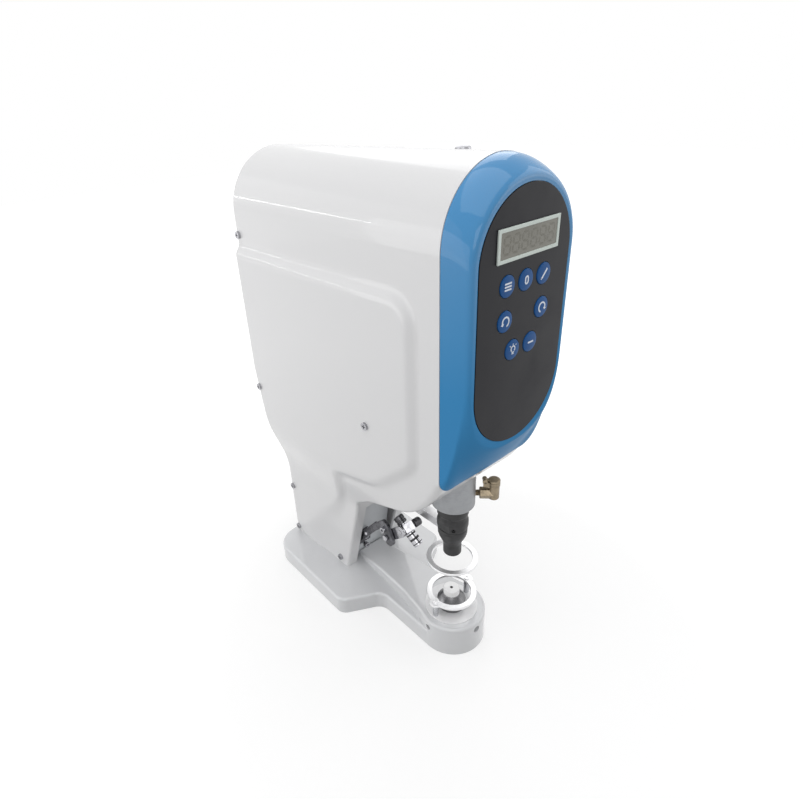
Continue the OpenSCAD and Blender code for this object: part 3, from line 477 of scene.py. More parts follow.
def make_groups():
    """Effects that several finishes share: sprayed paint, cast skin, machined metal and moulded plastic."""
    tree, given, place = effect("Sprayed paint", 0.2, Haze=0.12, Cloud=0.03)
    cloud = noise(tree, place, 5.0)
    peel = noise(tree, place, 650.0)
    wipe = spread(tree, noise(tree, place, 14.0), 0.35, 0.75)
    dust = spread(tree, noise(tree, place, 1500.0), 0.74, 0.8)
    tone = spread(tree, cloud, 0.3, 0.7, minus(tree, 1.0, given["Cloud"]))
    tone = minus(tree, tone, times(tree, dust, 0.05))
    rough = plus(tree, given["Gloss"], times(tree, wipe, given["Haze"]))
    GROUPS["paint"] = put_out(tree, given, tone, rough, peel)

    tree, given, place = effect("Cast skin", 0.42, Grain=260.0)
    lumps = noise(tree, place, 55.0, 3.0, 0.6)
    grain = noise(tree, place, given["Grain"], 4.0, 0.6)
    scuff = spread(tree, noise(tree, place, 21.0, 6.0, 0.72), 0.62, 0.72)
    tone = minus(tree, spread(tree, lumps, 0.3, 0.7, 0.965), times(tree, scuff, 0.035))
    rough = plus(tree, given["Gloss"], times(tree, grain, 0.16))
    height = plus(tree, times(tree, grain, 0.6), times(tree, lumps, 0.7))
    GROUPS["cast"] = put_out(tree, given, tone, rough, height)

    tree, given, place = effect("Machined metal", 0.2, Lines=(40, 40, 3000), Tarnish=0.12)
    drawn = node(tree, "VectorMath", [(0, place), (1, given["Lines"])], operation="MULTIPLY").outputs[0]
    lines = noise(tree, drawn, 1.0, 3.0, 0.6)
    prints = spread(tree, noise(tree, place, 120.0, 4.0, 0.65), 0.45, 0.7)
    darker = minus(tree, 1.0, times(tree, prints, given["Tarnish"]))
    tone = times(tree, darker, spread(tree, lines, 0.3, 0.7, 0.9))
    rough = plus(tree, plus(tree, given["Gloss"], times(tree, lines, 0.12)), times(tree, prints, 0.1))
    GROUPS["metal"] = put_out(tree, given, tone, rough, lines)

    tree, given, place = effect("Moulded plastic", 0.3, Grain=900.0)
    grain = node(tree, "TexVoronoi", [("Vector", place), ("Scale", given["Grain"])]).outputs["Distance"]
    cloud = noise(tree, place, 30.0, 4.0, 0.6)
    rough = plus(tree, given["Gloss"], spread(tree, cloud, 0.35, 0.7, 0.0, 0.14))
    GROUPS["plastic"] = put_out(tree, given, spread(tree, cloud, 0.3, 0.7, 0.94), rough, grain)


def finish(name, kind, tint, bump, depth=0.0003, metallic=0.0, coat=0.0, shine=0.5, polish=None, **values):
    """A material: one shared effect with its own values, feeding a principled shader.

    With polish, the coat fades in between two heights.
    """
    material = bpy.data.materials.new(name)
    material.use_nodes = True
    tree = material.node_tree
    place = node(tree, "TexCoord").outputs["Object"]
    own = [(key.capitalize(), value) for key, value in values.items()]
    look = node(tree, "Group", [("Vector", place), ("Colour", (*tint, 1)), *own], node_tree=GROUPS[kind])
    raised = node(tree, "Bump", [("Strength", bump), ("Distance", depth), ("Height", look.outputs["Height"])])
    shader = feed(tree, tree.nodes["Principled BSDF"], [
        ("Base Color", look.outputs["Colour"]), ("Roughness", look.outputs["Roughness"]),
        ("Normal", raised.outputs["Normal"]), ("Metallic", metallic), ("Coat Weight", coat),
        ("Coat Roughness", COAT_ROUGHNESS), ("Specular IOR Level", shine)])
    if polish:
        height = node(tree, "SeparateXYZ", [("Vector", place)]).outputs["Z"]
        feed(tree, shader, [("Coat Weight", spread(tree, height, polish[0] * MM, polish[1] * MM, 0.0, coat))])
    FINISH[name] = material


# Each metal: its display colour or the name of its setting, metallic, bump, gloss, drawn lines and tarnish.
RINGED, ALONG = (30, 30, 2600), (1800, 30, 1800)
METALS = {
    "bright_steel": ((246, 246, 247), 0.8, 0.03, 0.26, RINGED, 0.05),
    "ground_steel": ((205, 206, 209), 1, 0.05, 0.2, RINGED, 0.08),
    "housing_steel": ((162, 164, 167), 0.55, 0.06, 0.38, RINGED, 0.1),
    # The die plate: pale steel, lightened to near white with little metal in it; the extra whiteness is
    # painted glare.
    "pale_steel_and_painted_glare": ((241, 241, 242), 0.2, 0.04, 0.36, RINGED, 0.05),
    # The die's top face: its near-white, barely metallic colour is painted light; the die below it is dark
    # tool steel.
    "die_top_painted_light": ((250, 250, 250), 0.1, 0.04, 0.3, RINGED, 0.05),
    "tool_steel": ((120, 120, 122), 0.95, 0.08, 0.2, RINGED, 0.2),
    "black_steel": ("black", 0.35, 0.1, 0.36, (400, 400, 900), 0.3),
    "dark_steel": ((112, 112, 116), 0.95, 0.06, 0.2, ALONG, 0.45),
    "black_screw": ((62, 62, 64), 0.7, 0.05, 0.34, (500, 500, 500), 0.2),
    "screw_steel": ((176, 176, 180), 1, 0.05, 0.18, (300, 1500, 1500), 0.2),
    "lamp_chrome": ((196, 196, 200), 1, 0.02, 0.08, (600, 600, 600), 0.45),
    # Chrome of the knurled grip and knob, darkened to grey: the darkness is painted dark reflection.
    "dark_chrome": ((92, 92, 95), 1, 0.03, 0.16, (600, 600, 600), 0.3),
    "bronze": ((178, 140, 78), 1, 0.05, 0.3, RINGED, 0.15),
    "oil_brass": ("brass", 0.8, 0.08, 0.26, (700, 700, 700), 0.4),
    "alloy": ((176, 178, 181), 1, 0.06, 0.34, ALONG, 0.08),
}
# Each plastic: its display colour or the name of its setting, bump, bump depth, gloss, grain, shine and coat.
PLASTICS = {
    "fascia_film": ("fascia", 0.05, 0.0002, 0.34, 2600.0, 0.14, 0.0),
    "key_film": ("key", 0.03, 0.0002, 0.3, 2200.0, 0.12, 0.0),
    "mark_ink": ("mark", 0.02, 0.0001, 0.4, 2600.0, 0.5, 0.0),
    "bezel_print": ("bezel", 0.03, 0.0001, 0.4, 2400.0, 0.5, 0.0),
    "window_smoke": ("window", 0.01, 0.0001, 0.12, 1500.0, 0.5, 0.1),
    "digit_grey": ("digit", 0.01, 0.0001, 0.3, 1500.0, 0.5, 0.0),
    "motor_black": ((40, 40, 42), 0.08, 0.0003, 0.38, 700.0, 0.5, 0.0),
    "black_plastic": ((34, 34, 35), 0.08, 0.0003, 0.36, 1100.0, 0.5, 0.0),
    "board_green": ((26, 92, 58), 0.04, 0.0003, 0.34, 1400.0, 0.5, 0.0),
    # Near black: the die's set screws' own colour, and painted shade on the plug in the die's hole.
    "black_set_screw_and_pit_shade": ((30, 30, 31), 0.05, 0.0003, 0.5, 900.0, 0.5, 0.0),
}
COVER_POLISH = (330, 480)


class MACHINE_OT_finishes(bpy.types.Operator):
    """Mix the paints, metals and plastics"""
    bl_idname = "machine.finishes"
    bl_label = "Finishes"

    def execute(self, context):
        tints = context.scene.machine_finishes

        def tint(value):
            return getattr(tints, value) if isinstance(value, str) else srgb(*value)
        make_groups()
        finish("casing_enamel", "paint", tints.casing, 0.005, coat=0.6, gloss=0.28, haze=0.05, cloud=0.012,
               shine=0.35)
        finish("rear_enamel", "paint", tints.rear, 0.01, coat=0.2, gloss=0.28, haze=0.08, cloud=0.03)
        finish("base_paint", "cast", tints.base, 0.1, 0.0006, gloss=0.3, grain=240.0, coat=1.0)
        finish("frame_paint", "cast", tints.frame, 0.2, 0.0008, gloss=0.42, grain=180.0)
        finish("cover_gloss", "paint", tints.cover, 0.008, coat=0.9, gloss=0.3, haze=0.08, cloud=0.06,
               shine=0.02, polish=COVER_POLISH)
        for name, (shade, metallic, bump, gloss, lines, tarnish) in METALS.items():
            finish(name, "metal", tint(shade), bump, metallic=metallic, gloss=gloss, lines=lines,
                   tarnish=tarnish)
        for name, (shade, bump, depth, gloss, grain, shine, coat) in PLASTICS.items():
            finish(name, "plastic", tint(shade), bump, depth, coat=coat, shine=shine, gloss=gloss,
                   grain=grain)
        return {"FINISHED"}


# Lines and outlines in millimetres.
def arc(x, z, r, start, stop, count):
    """Points along a circle between two angles."""
    return [(x + r * math.cos(a), z + r * math.sin(a)) for a in np.linspace(start, stop, count)]


def unit(v):
    return v / np.linalg.norm(v)


def bent(points, steps=14):
    """A line whose corners are rounded: each point has a radius after its two coordinates."""
    line = []
    for i, (y, z, r) in enumerate(points):
        if r <= 0 or i in (0, len(points) - 1):
            line.append((y, z))
            continue
        q = np.array((y, z))
        u, v = (unit(np.array(points[k][:2]) - q) for k in (i - 1, i + 1))
        half = math.acos(np.clip(u @ v, -1, 1)) / 2
        centre = q + unit(u + v) * (r / math.sin(half))
        a, b = (q + d * r / math.tan(half) - centre for d in (u, v))
        start = math.atan2(a[1], a[0])
        sweep = (math.atan2(b[1], b[0]) - start + math.pi) % (2 * math.pi) - math.pi
        line += arc(*centre, r, start, start + sweep, steps + 1)
    return np.array(line)


def run_of(line):
    """Distance along a line at each of its points."""
    return np.concatenate(([0], np.cumsum(np.linalg.norm(np.diff(line, axis=0), axis=1))))


def at_run(line, run, s):
    """Points at given distances along a line."""
    return np.stack((np.interp(s, run, line[:, 0]), np.interp(s, run, line[:, 1])), axis=-1)


def away(points, line):
    """Distance of points from a line."""
    best = np.full(len(points), 1e9)
    for a, b in zip(line, line[1:]):
        d = b - a
        t = np.clip(((points - a) @ d) / max(d @ d, 1e-12), 0, 1)
        best = np.minimum(best, np.linalg.norm(points - a - t[:, None] * d, axis=1))
    return best


def within(points, ring):
    """Which points lie inside a line that ends where it starts."""
    inside = np.zeros(len(points), bool)
    y, z = points[:, 0], points[:, 1]
    for (ya, za), (yb, zb) in zip(ring, ring[1:]):
        crosses = (za > z) != (zb > z)
        slope = (yb - ya) / (zb - za) if zb != za else 0
        inside ^= crosses & (y < ya + (z - za) * slope)
    return inside


def turn_under(t, r):
    """How far a round edge of radius r falls back at distance t from its end."""
    t = np.clip(t, 0, r)
    return r - np.sqrt(np.maximum(r * r - (r - t) ** 2, 0))


def round_steps(r, count):
    """Distances from an edge, set closer together where its radius starts."""
    return r * (1 - np.cos(np.linspace(0, math.pi / 2, count)))


def ease(t):
    """A smooth step from 0 to 1."""
    t = np.clip(t, 0, 1)
    return t * t * t * (t * (6 * t - 15) + 10)


# Side view of the casing: y runs to the rear and z up, and a corner has its radius after them.
SEAM, REAR, FOOT = -37.0, 251.0, 21.0
CHIN, CHIN_END = (55.0, 277.0, 99.0), 15.0
BELLY, THROAT = (66.0, 164.0, 70.0), (100.0, 139.0, 16.0)
COLUMN_FRONT, COLUMN_REAR = 132.0, 235.0
REAR_BENDS = [(REAR, 262, 60), (COLUMN_REAR, 165, 60)]
PANEL_TOP, PANEL_INSET, PANEL_CORNER = 397, 27, 22
PANEL_UNDER = [(40, 205, 60), (106, 188, 21)]
PAST_REAR, PAST_FOOT, PAST_CROWN = REAR + 60, -20, 80
# Heights between which the sides narrow to the column, the panel's slope steepens and it then fades away.
NARROW, STEEPEN, FADE, FADE_WIDTH = (112.0, 212.0), (215, 30), (160, 128), 58
EDGE_START, EDGE_RUN, EDGE_REACH, EDGE_SHARE = 182, 50, 1.15, 0.3
EDGE_STEPS, REAR_STEPS, TIP_STEPS = 8, 5, 6
# Where the columns of points change their aim: from the crown to the rear, and from the rear to the foot.
BELLY_MARK, COLUMN_MARK, REAR_MARK = 78, 118, 135
CROWN_COLUMNS, BACK_COLUMNS, FOOT_COLUMNS, SIDE_ROWS, CROWN_ROWS, BELLY_ROWS = 110, 110, 50, 72, 20, 9
MIDLINE = 0.05
RAM_OPENING, THROAT_OPENING = (22, 120, (0, 0, 215)), ((-27, 90, -5), (27, 170, 122))
ROD_OPENING = (8, 70, (16, 62, 180))
# The rear panel: its gap to the casing, how far it lies back, its thickness and its openings.
SHEET_GAP, SHEET_SUNK, SHEET_WALL, SHEET_TIP = 0.35, 1.0, 2, 0.4
SHEET_ROWS, SHEET_ARCH, SHEET_COLUMNS, SHEET_CUT = 150, 25, 29, (200, 280)
VENTS = [(26, 318 + 12 * i, 322 + 12 * i) for i in range(7)]
OPENINGS = [(13.8, 51.7, 72.3), (6.8, 82.2, 101.8)]
PEDAL_OPENING = (8.3, 80, (0, COLUMN_REAR, 122))


def lower_line():
    """The casing's lower edge: chin, belly, throat and column."""
    y, z, r = CHIN
    start, stop = (math.pi + math.acos((y - v) / r) for v in (SEAM, CHIN_END))
    chin = arc(y, z, r, start, stop, 60)
    rest = bent([(*chin[-1], 0), BELLY, THROAT, (COLUMN_FRONT, FOOT, 0)], 24)
    return np.array(chin[:-1] + [tuple(p) for p in rest])


def rear_line(top):
    return bent([(REAR, top, 0), *REAR_BENDS, (COLUMN_REAR, FOOT, 0)])


def panel_ring():
    """The outline of the raised side panel, which runs on past the rear and the foot."""
    front, heel = SEAM + PANEL_INSET, COLUMN_FRONT + PANEL_INSET
    start = (PAST_REAR, PANEL_TOP, 0)
    return bent([start, (front, PANEL_TOP, PANEL_CORNER), (front, CHIN[1] - PANEL_INSET, PANEL_CORNER),
                 *PANEL_UNDER, (heel, FOOT, 0), (heel + 7, PAST_FOOT, 0), (PAST_REAR, PAST_FOOT, 0), start])


def side_width(flat, size):
    """Half width of the casing at points of the side view, before its edges turn under."""
    head, column, ramp = size.half_width / MM, size.column_half / MM, size.panel_ramp / MM
    z = flat[:, 1]
    width = column + (head - column) * ease((z - NARROW[0]) / (NARROW[1] - NARROW[0]))
    ring = panel_ring()
    gap = away(flat, ring) * np.where(within(flat, ring), 1, -1)
    slope = ramp - ease((STEEPEN[0] - z) / STEEPEN[1]) + FADE_WIDTH * ease((FADE[0] - z) / FADE[1])
    return width + size.panel_rise / MM * ease((gap + ramp / 2) / slope)


def edge_at(z, size):
    """Radius of the lower edge: wide under the chin and small down the column."""
    wider = (size.belly_edge - size.column_edge) / MM
    return size.column_edge / MM + wider * ease((z - EDGE_START) / EDGE_RUN)


def side_grid(size):
    """Rows of points over the side view, from the lower edge to the crown's centre line and the rear edge.

    Also says how many columns end at the crown's centre line.
    """
    crown, rear_r = size.crown_z / MM, size.rear_edge / MM
    lower, rear = lower_line(), rear_line(crown)
    run, rear_run = run_of(lower), run_of(rear)
    belly = np.interp(BELLY_MARK, lower[:, 0], run)
    column = np.interp(-COLUMN_MARK, -lower[:, 1], run)
    rear_mark = np.interp(-REAR_MARK, -rear[:, 1], rear_run)
    crown_y = np.linspace(SEAM, REAR, CROWN_COLUMNS, endpoint=False)
    tip = REAR - round_steps(rear_r, TIP_STEPS)[:0:-1]
    crown_y = np.concatenate((crown_y[crown_y < REAR - rear_r - 1], tip))
    s1 = np.interp(crown_y, (SEAM, REAR), (0, belly))
    s2 = np.linspace(belly, column, BACK_COLUMNS, endpoint=False)
    s3 = np.linspace(column, run[-1], FOOT_COLUMNS)
    near = at_run(lower, run, np.concatenate((s1, s2, s3)))
    back = np.concatenate((np.interp(s2, (belly, column), (0, rear_mark)),
                           np.interp(s3, (column, run[-1]), (rear_mark, rear_run[-1]))))
    top = np.stack((crown_y, np.full(len(s1), crown)), axis=-1)
    far = np.concatenate((top, at_run(rear, rear_run, back)))
    reach = np.linalg.norm(far - near, axis=1)
    start = round_steps(EDGE_REACH, EDGE_STEPS)[:, None] * edge_at(near[:, 1], size)
    stop = round_steps(rear_r, REAR_STEPS)[::-1]
    rows = [np.minimum(s / reach, EDGE_SHARE) for s in start]
    rows += [start[-1] / reach + (1 - (start[-1] + stop[0]) / reach) * m
             for m in np.linspace(0, 1, SIDE_ROWS)[1:-1]]
    rows += [1 - s / reach for s in stop]
    return np.stack([near + (far - near) * f[:, None] for f in rows]), len(s1)


def casing_half(name, size):
    """The left half of the casing: its side, the half-round crown above it and the belly below it."""
    crown = size.crown_z / MM
    grid, crown_columns = side_grid(size)
    height, columns = grid.shape[:2]
    flat = grid.reshape(-1, 2)
    width = side_width(flat, size)
    width -= turn_under(away(flat, lower_line()), edge_at(flat[:, 1], size))
    width -= turn_under(away(flat, rear_line(crown + PAST_CROWN)), size.rear_edge / MM)
    points = [(-w * MM, y * MM, z * MM) for w, (y, z) in zip(width, flat)]
    rows = rows_of(height, columns)
    faces = strips(rows)
    arch = [rows[-1][:crown_columns + 1]]
    brim = [points[i] for i in arch[0]]
    for k in range(1, CROWN_ROWS + 1):
        angle = math.pi / 2 * k / CROWN_ROWS
        arch.append(list(range(len(points), len(points) + len(brim))))
        points += [(-max(-x * math.cos(angle), MIDLINE * MM), y, crown * MM - x * math.sin(angle))
                   for x, y, _ in brim]
    faces += strips(arch)
    under, edge = [rows[0]], points[:columns]
    for k in range(1, BELLY_ROWS + 1):
        under.append(list(range(len(points), len(points) + columns)))
        points += [(x + (-MIDLINE * MM - x) * k / BELLY_ROWS, y, z) for x, y, z in edge]
    faces += strips(under[::-1])
    piece = surface(name, points, faces)
    facing(piece, columns * SIDE_ROWS // 2, (-1, 0, 0))
    modify(piece, "SOLIDIFY", thickness=size.wall, offset=-1.0, use_even_offset=True,
           use_quality_normals=True)
    cut_rod(piece, *RAM_OPENING)
    cut_box(piece, *THROAT_OPENING)
    return piece


def rear_sheet(name, size):
    """The rear panel: a bent sheet that fills the casing's open back, cut out for vents and sockets."""
    crown = size.crown_z / MM
    line = rear_line(crown)
    run = run_of(line)
    spine = at_run(line, run, np.linspace(run[-1] - 1, 0, SHEET_ROWS))
    half = side_width(spine, size) - size.rear_edge / MM - SHEET_GAP
    rows = [(y, z, w) for (y, z), w in zip(spine, half)]
    arch = arc(0, crown, half[-1], 0, math.pi / 2, SHEET_ARCH)[1:]
    rows += [(REAR, z, max(x, SHEET_TIP)) for x, z in arch]
    across = np.linspace(-1, 1, SHEET_COLUMNS)
    points = [(w * t * MM, (y - SHEET_SUNK) * MM, z * MM) for y, z, w in rows for t in across]
    piece = surface(name, points, strips(rows_of(len(rows), len(across))))
    facing(piece, 0, (0, 1, 0))
    modify(piece, "SOLIDIFY", thickness=SHEET_WALL * MM, offset=-1.0)
    for wide, low, high in VENTS + OPENINGS:
        cut_box(piece, (-wide, SHEET_CUT[0], low), (wide, SHEET_CUT[1], high))
    cut_rod(piece, *PEDAL_OPENING, turn=(90, 0, 0))
    return piece


class MACHINE_OT_casing(bpy.types.Operator):
    """Form the two halves of the casing and the rear panel"""
    bl_idname = "machine.casing"
    bl_label = "Casing"

    def execute(self, context):
        size = context.scene.machine_casing
        left = casing_half("casing_left", size)
        right = linked("casing_right", left.data.copy())
        swapped(right, Matrix.Diagonal((-1, 1, 1, 1)))
        cut_rod(right, *ROD_OPENING)
        belongs(smooth(left, 42), "left_cover", "casing_enamel")
        belongs(smooth(right, 42), "right_cover", "casing_enamel")
        belongs(smooth(rear_sheet("rear_sheet", size), 30), "rear_panel", "rear_enamel")
        return {"FINISHED"}


# The front cover: depths of its back, face and bed, then half width, foot, top and corner of its rings.
COVER_BACK, COVER_FACE, COVER_BED, COVER_WALL = -37.3, -63.0, -61.8, 2.6
SEAM_RING, FACE_RING, LIP_RING = (58.5, 236, 433, 13), (57.2, 265.5, 484.0), (50.35, 279.15, 474.35)
FACE_POWER, FACE_INSET, SWELL, LIP_SHARE, LIP_DROP, RING_POINTS = 2.5, 0.6, 2.0, 0.9, 0.12, 64
# Near the foot, below a height and over a run, the face is fuller and the sides swell sooner.
FOOT_TOP, FOOT_RUN, FOOT_FULLER, FOOT_SOONER = 330, 60, 0.1, 0.65


def ring_over(hw, top, low, foot):
    """A closed ring from the right of its round top: the top, a side, the foot's points, the other side."""
    side = np.linspace(top, low, RING_POINTS // 2)[1:-1]
    ring = arc(0, top, hw, 0, math.pi, RING_POINTS) + [(-hw, z) for z in side]
    return np.array(ring + foot + [(hw, z) for z in side[::-1]])


def stadium(hw, low, high, power=2.0):
    """A ring with a foot that is rounder or squarer."""
    def bulge(v):
        return hw * math.copysign(abs(v) ** (2 / power), v)
    foot = low + hw
    half = arc(0, 0, 1, math.pi, 2 * math.pi, RING_POINTS)
    return ring_over(hw, high - hw, foot, [(bulge(x), foot + bulge(z)) for x, z in half])


def seam_ring(hw, low, crown, corner):
    """A ring with a flat foot and rounded corners."""
    inner, level = hw - corner, low + corner
    foot = arc(-inner, level, corner, math.pi, 1.5 * math.pi, 12)
    foot += [(x, low) for x in np.linspace(-inner, inner, 20)[1:-1]]
    foot = np.array(foot + arc(inner, level, corner, 1.5 * math.pi, 2 * math.pi, 12))
    run = run_of(foot)
    spaced = at_run(foot, run, np.linspace(0, run[-1], RING_POINTS))
    return ring_over(hw, crown, level, [tuple(p) for p in spaced])


def cover_sections(edge):
    """Rings of the front cover with their depths: the sides, the round edge, and the lip down to the bed."""
    seam, face, lip = seam_ring(*SEAM_RING), stadium(*FACE_RING, FACE_POWER), stadium(*LIP_RING)
    low = ease((FOOT_TOP - face[:, 1]) / FOOT_RUN)[:, None]
    inner = face + (lip - face) * (FACE_INSET + FOOT_FULLER * low)
    swell = SWELL - FOOT_SOONER * low
    shoulder = COVER_FACE + edge
    sections = [(COVER_BACK + (shoulder - COVER_BACK) * t, seam + (face - seam) * t ** swell)
                for t in np.linspace(0, 1, 20)]
    ahead = face + (face - seam) * swell * edge / (COVER_BACK - shoulder)
    for t in np.linspace(0, 1, 11)[1:]:
        left = (1 - t) ** 2
        sections.append((left * shoulder + (1 - left) * COVER_FACE,
                         left * face + 2 * t * (1 - t) * ahead + t * t * inner))
    return sections + [(COVER_FACE, inner + (lip - inner) * LIP_SHARE), (COVER_FACE + LIP_DROP, lip),
                       (COVER_BED, lip)]


class MACHINE_OT_front_cover(bpy.types.Operator):
    """Draw the blue front cover from the seam to its rounded face"""
    bl_idname = "machine.front_cover"
    bl_label = "Front cover"

    def execute(self, context):
        sections = cover_sections(context.scene.machine_casing.cover_edge / MM)
        points = [(x * MM, y * MM, z * MM) for y, ring in sections for x, z in ring]
        around = len(sections[0][1])
        faces = []
        for start in range(0, len(points) - around, around):
            for i in range(around):
                a, b = start + i, start + (i + 1) % around
                faces.append((a, b, b + around, a + around))
        faces.append(tuple(range(len(points) - around, len(points))))
        cover = surface("blue_cover", points, faces)
        facing(cover, around // 4, (0, 0, 1))
        modify(cover, "SOLIDIFY", thickness=COVER_WALL * MM, offset=-1.0)
        belongs(smooth(cover, 42), "front_cover", "cover_gloss")
        softened("fascia", 0.25, "fascia_film", name="fascia_plate")
        return {"FINISHED"}


# The control panel. Each segment of a digit: its place in half widths and half heights, and if it stands.
SEGMENTS = ((0, 1, 0), (0.5, 0.5, 1), (0.5, -0.5, 1), (0, -1, 0), (-0.5, -0.5, 1), (-0.5, 0.5, 1), (0, 0, 0))
DIGITS, DIGIT_PITCH, DIGIT_Z, DIGIT_SHAPE, DIGIT_PACK, SEGMENT_GAP = 6, 9.6, 437.5, 0.52, 0.93, 0.42
SLANT = Matrix(((1, 0, 0.09, 0), (0, 1, 0, 0), (0, 0, 1, 0), (0, 0, 0, 1)))
KEYS = {"menu": (-20.5, 409), "zero": (0, 409), "edit": (20.5, 409), "back": (-21, 383.5),
        "forward": (21, 383.5), "lamp": (-10.5, 359), "minus": (10.5, 359)}
KEY_FRONT, KEY_RIM, WINDOW_FRONT, PROUD = -64.1, 1.62, -64.3, 0.03


def segment(cx, cz, half, line, standing):
    """A stroke with pointed ends, as an outline."""
    tip, side = half - line / 2, line / 2
    ring = [(-tip, -side), (tip, -side), (half, 0), (tip, side), (-tip, side), (-half, 0)]
    return [(cx + v, cz + u) if standing else (cx + u, cz + v) for u, v in ring]


def bar(x0, z0, x1, z1, line):
    """A straight stroke with blunt ends, as an outline."""
    a, b = np.array((x0, z0), float), np.array((x1, z1), float)
    u = unit(b - a)
    n = np.array((-u[1], u[0])) * line / 2
    return [tuple(p) for p in (a - n, b - n, b + n, a + n)]


def slot_ring(x0, z0, x1, z1, r):
    """A long ring with round ends, as an outline."""
    turn = math.atan2(z1 - z0, x1 - x0)
    return (arc(x1, z1, r, turn - math.pi / 2, turn + math.pi / 2, 15)
            + arc(x0, z0, r, turn + math.pi / 2, turn + 1.5 * math.pi, 15))


def bow(x, z, r, start, stop, line):
    """A curved stroke, as an outline."""
    start, stop = math.radians(start), math.radians(stop)
    return arc(x, z, r + line / 2, start, stop, 20) + arc(x, z, r - line / 2, stop, start, 20)


def arrow(r, angle, way, head):
    """An arrow head at the end of a curved stroke about the centre."""
    c, s = math.cos(math.radians(angle)), math.sin(math.radians(angle))
    tip = (r * c - way * head * s, r * s + way * head * c)
    return [tip, ((r - head) * c, (r - head) * s), ((r + head) * c, (r + head) * s)]


def key_marks(line):
    """Strokes of the keys' marks, each about its key's centre."""
    bold, medium, thin, fine = line * 1.25, line * 0.8, line * 0.7, line * 0.6
    return {
        "menu": [bar(-3.6, h, 3.6, h, line) for h in (2.2, 0, -2.2)],
        "zero": [bow(0, 1.1, 1.5, 0, 180, line), bow(0, -1.1, 1.5, 180, 360, line),
                 bar(-1.5, -1.1, -1.5, 1.1, line), bar(1.5, -1.1, 1.5, 1.1, line)],
        "edit": [bar(-2.6, -3.0, 2.9, 3.1, bold), bar(-3.5, -4.0, -2.6, -3.0, fine)],
        "back": [bow(0, 0, 3.6, -70, 195, line), arrow(3.6, 195, 1, 1.8)],
        "forward": [bow(0, 0, 3.6, -15, 250, line), arrow(3.6, -15, -1, 1.8)],
        "lamp": [bow(0, 1.0, 2.2, -50, 230, medium), bar(-1.4, -1.6, 1.4, -1.6, thin),
                 bar(-1.2, -2.8, 1.2, -2.8, thin), bar(0, 4.1, 0, 5.0, fine), bar(-2.9, 3.2, -3.6, 3.9, fine),
                 bar(2.9, 3.2, 3.6, 3.9, fine)],
        "minus": [bar(-3.2, 0, 3.2, 0, line * 1.1)],
    }


def drawn(name, strokes, front, depth):
    """One piece from several flat strokes."""
    return joined(name, [plate("stroke", s, front, depth) for s in strokes])


def display_digits(high, line):
    """The unlit digits that lie on the display's window."""
    wide = high * DIGIT_SHAPE
    strokes = []
    for dx, dz, standing in SEGMENTS:
        half = (high * DIGIT_PACK / 2 if standing else wide) / 2 - line * SEGMENT_GAP
        strokes.append(segment(dx * wide, dz * high / 2 * DIGIT_PACK, half, line, standing))
    first = drawn("digit_1", strokes, WINDOW_FRONT - PROUD, 0.1)
    digits = [first] + [linked("digit_%d" % k, first.data.copy()) for k in range(2, DIGITS + 1)]
    for k, digit in enumerate(digits):
        placed(digit, moved((k - (DIGITS - 1) / 2) * DIGIT_PITCH, 0, DIGIT_Z) @ SLANT)
    return joined("display_digits", digits)


class MACHINE_OT_panel(bpy.types.Operator):
    """Make the display with its digits and the seven keys with their marks"""
    bl_idname = "machine.panel"
    bl_label = "Control panel"

    def execute(self, context):
        size = context.scene.machine_panel
        softened("display_bezel", 0.35, "bezel_print", name="bezel_frame")
        softened("display_window", 0.15, "window_smoke", name="window_pane")
        digits = display_digits(size.digit_h / MM, size.digit_line / MM)
        belongs(digits, "display_window", "digit_grey", replaces=False)
        r, dome = size.key_radius / MM, size.key_dome / MM
        profile = [(r, 0), (r, 1.2), (r - 0.35, 1.5), (r - 1.0, KEY_RIM), (r * 0.6, KEY_RIM + dome * 0.7),
                   (r * 0.2, KEY_RIM + dome), (0.2, KEY_RIM + dome)]
        strokes = key_marks(size.mark_line / MM)
        for kind, (x, z) in KEYS.items():
            cad = "key_" + kind
            cap = turned(cad + "_cap", profile, ROUND_SIDES)
            placed(cap, moved(x, KEY_FRONT + KEY_RIM, z) @ spun(90, "X"))
            belongs(smooth(cap, 30), cad, "key_film")
            mark = placed(drawn(cad + "_mark", strokes[kind], 0, 0.5), moved(x, KEY_FRONT - dome - PROUD, z))
            belongs(mark, cad, "mark_ink", replaces=False)
        return {"FINISHED"}


# The base from above: x across and y to the rear, each corner with its radius after them.
NOSE, NOSE_TOP, SPINE_TOP, SPINE_START, SPINE_END = 36.0, 37.0, 29.5, 28, 138.0
FLANGE = [(NOSE - 0.1, 0, 0), (NOSE, 73, 16), (80, 96, 14), (80, 236, 28), (42, 240, 0)]
SPINE = [(NOSE, 0, 0), (31, 18, 30), (25, 50, 90), (20.5, 95, 120), (18, SPINE_END, 0)]
BOLT_HOLES, BOLT_RADIUS = [(x, y) for x in (-22, 22) for y in (158, 206)], 7.3
DIE_SEAT = (28.1, 10, (0, 0, 41))
WEDGE_END, WEDGE_REACH = 150, 60
FRONT_SCREW, SIDE_SCREW = (4.0, 30, (0, -NOSE, 28)), (3.2, 30, (-NOSE, 0, 28))


def around_nose(side):
    """A closed outline: one side of the base, its mirror image and the round nose."""
    right = [tuple(p) for p in bent(side)]
    nose = arc(0, 0, right[0][0], math.pi, 2 * math.pi, 73)[1:-1]
    return right + [(-x, y) for x, y in right[::-1]] + nose


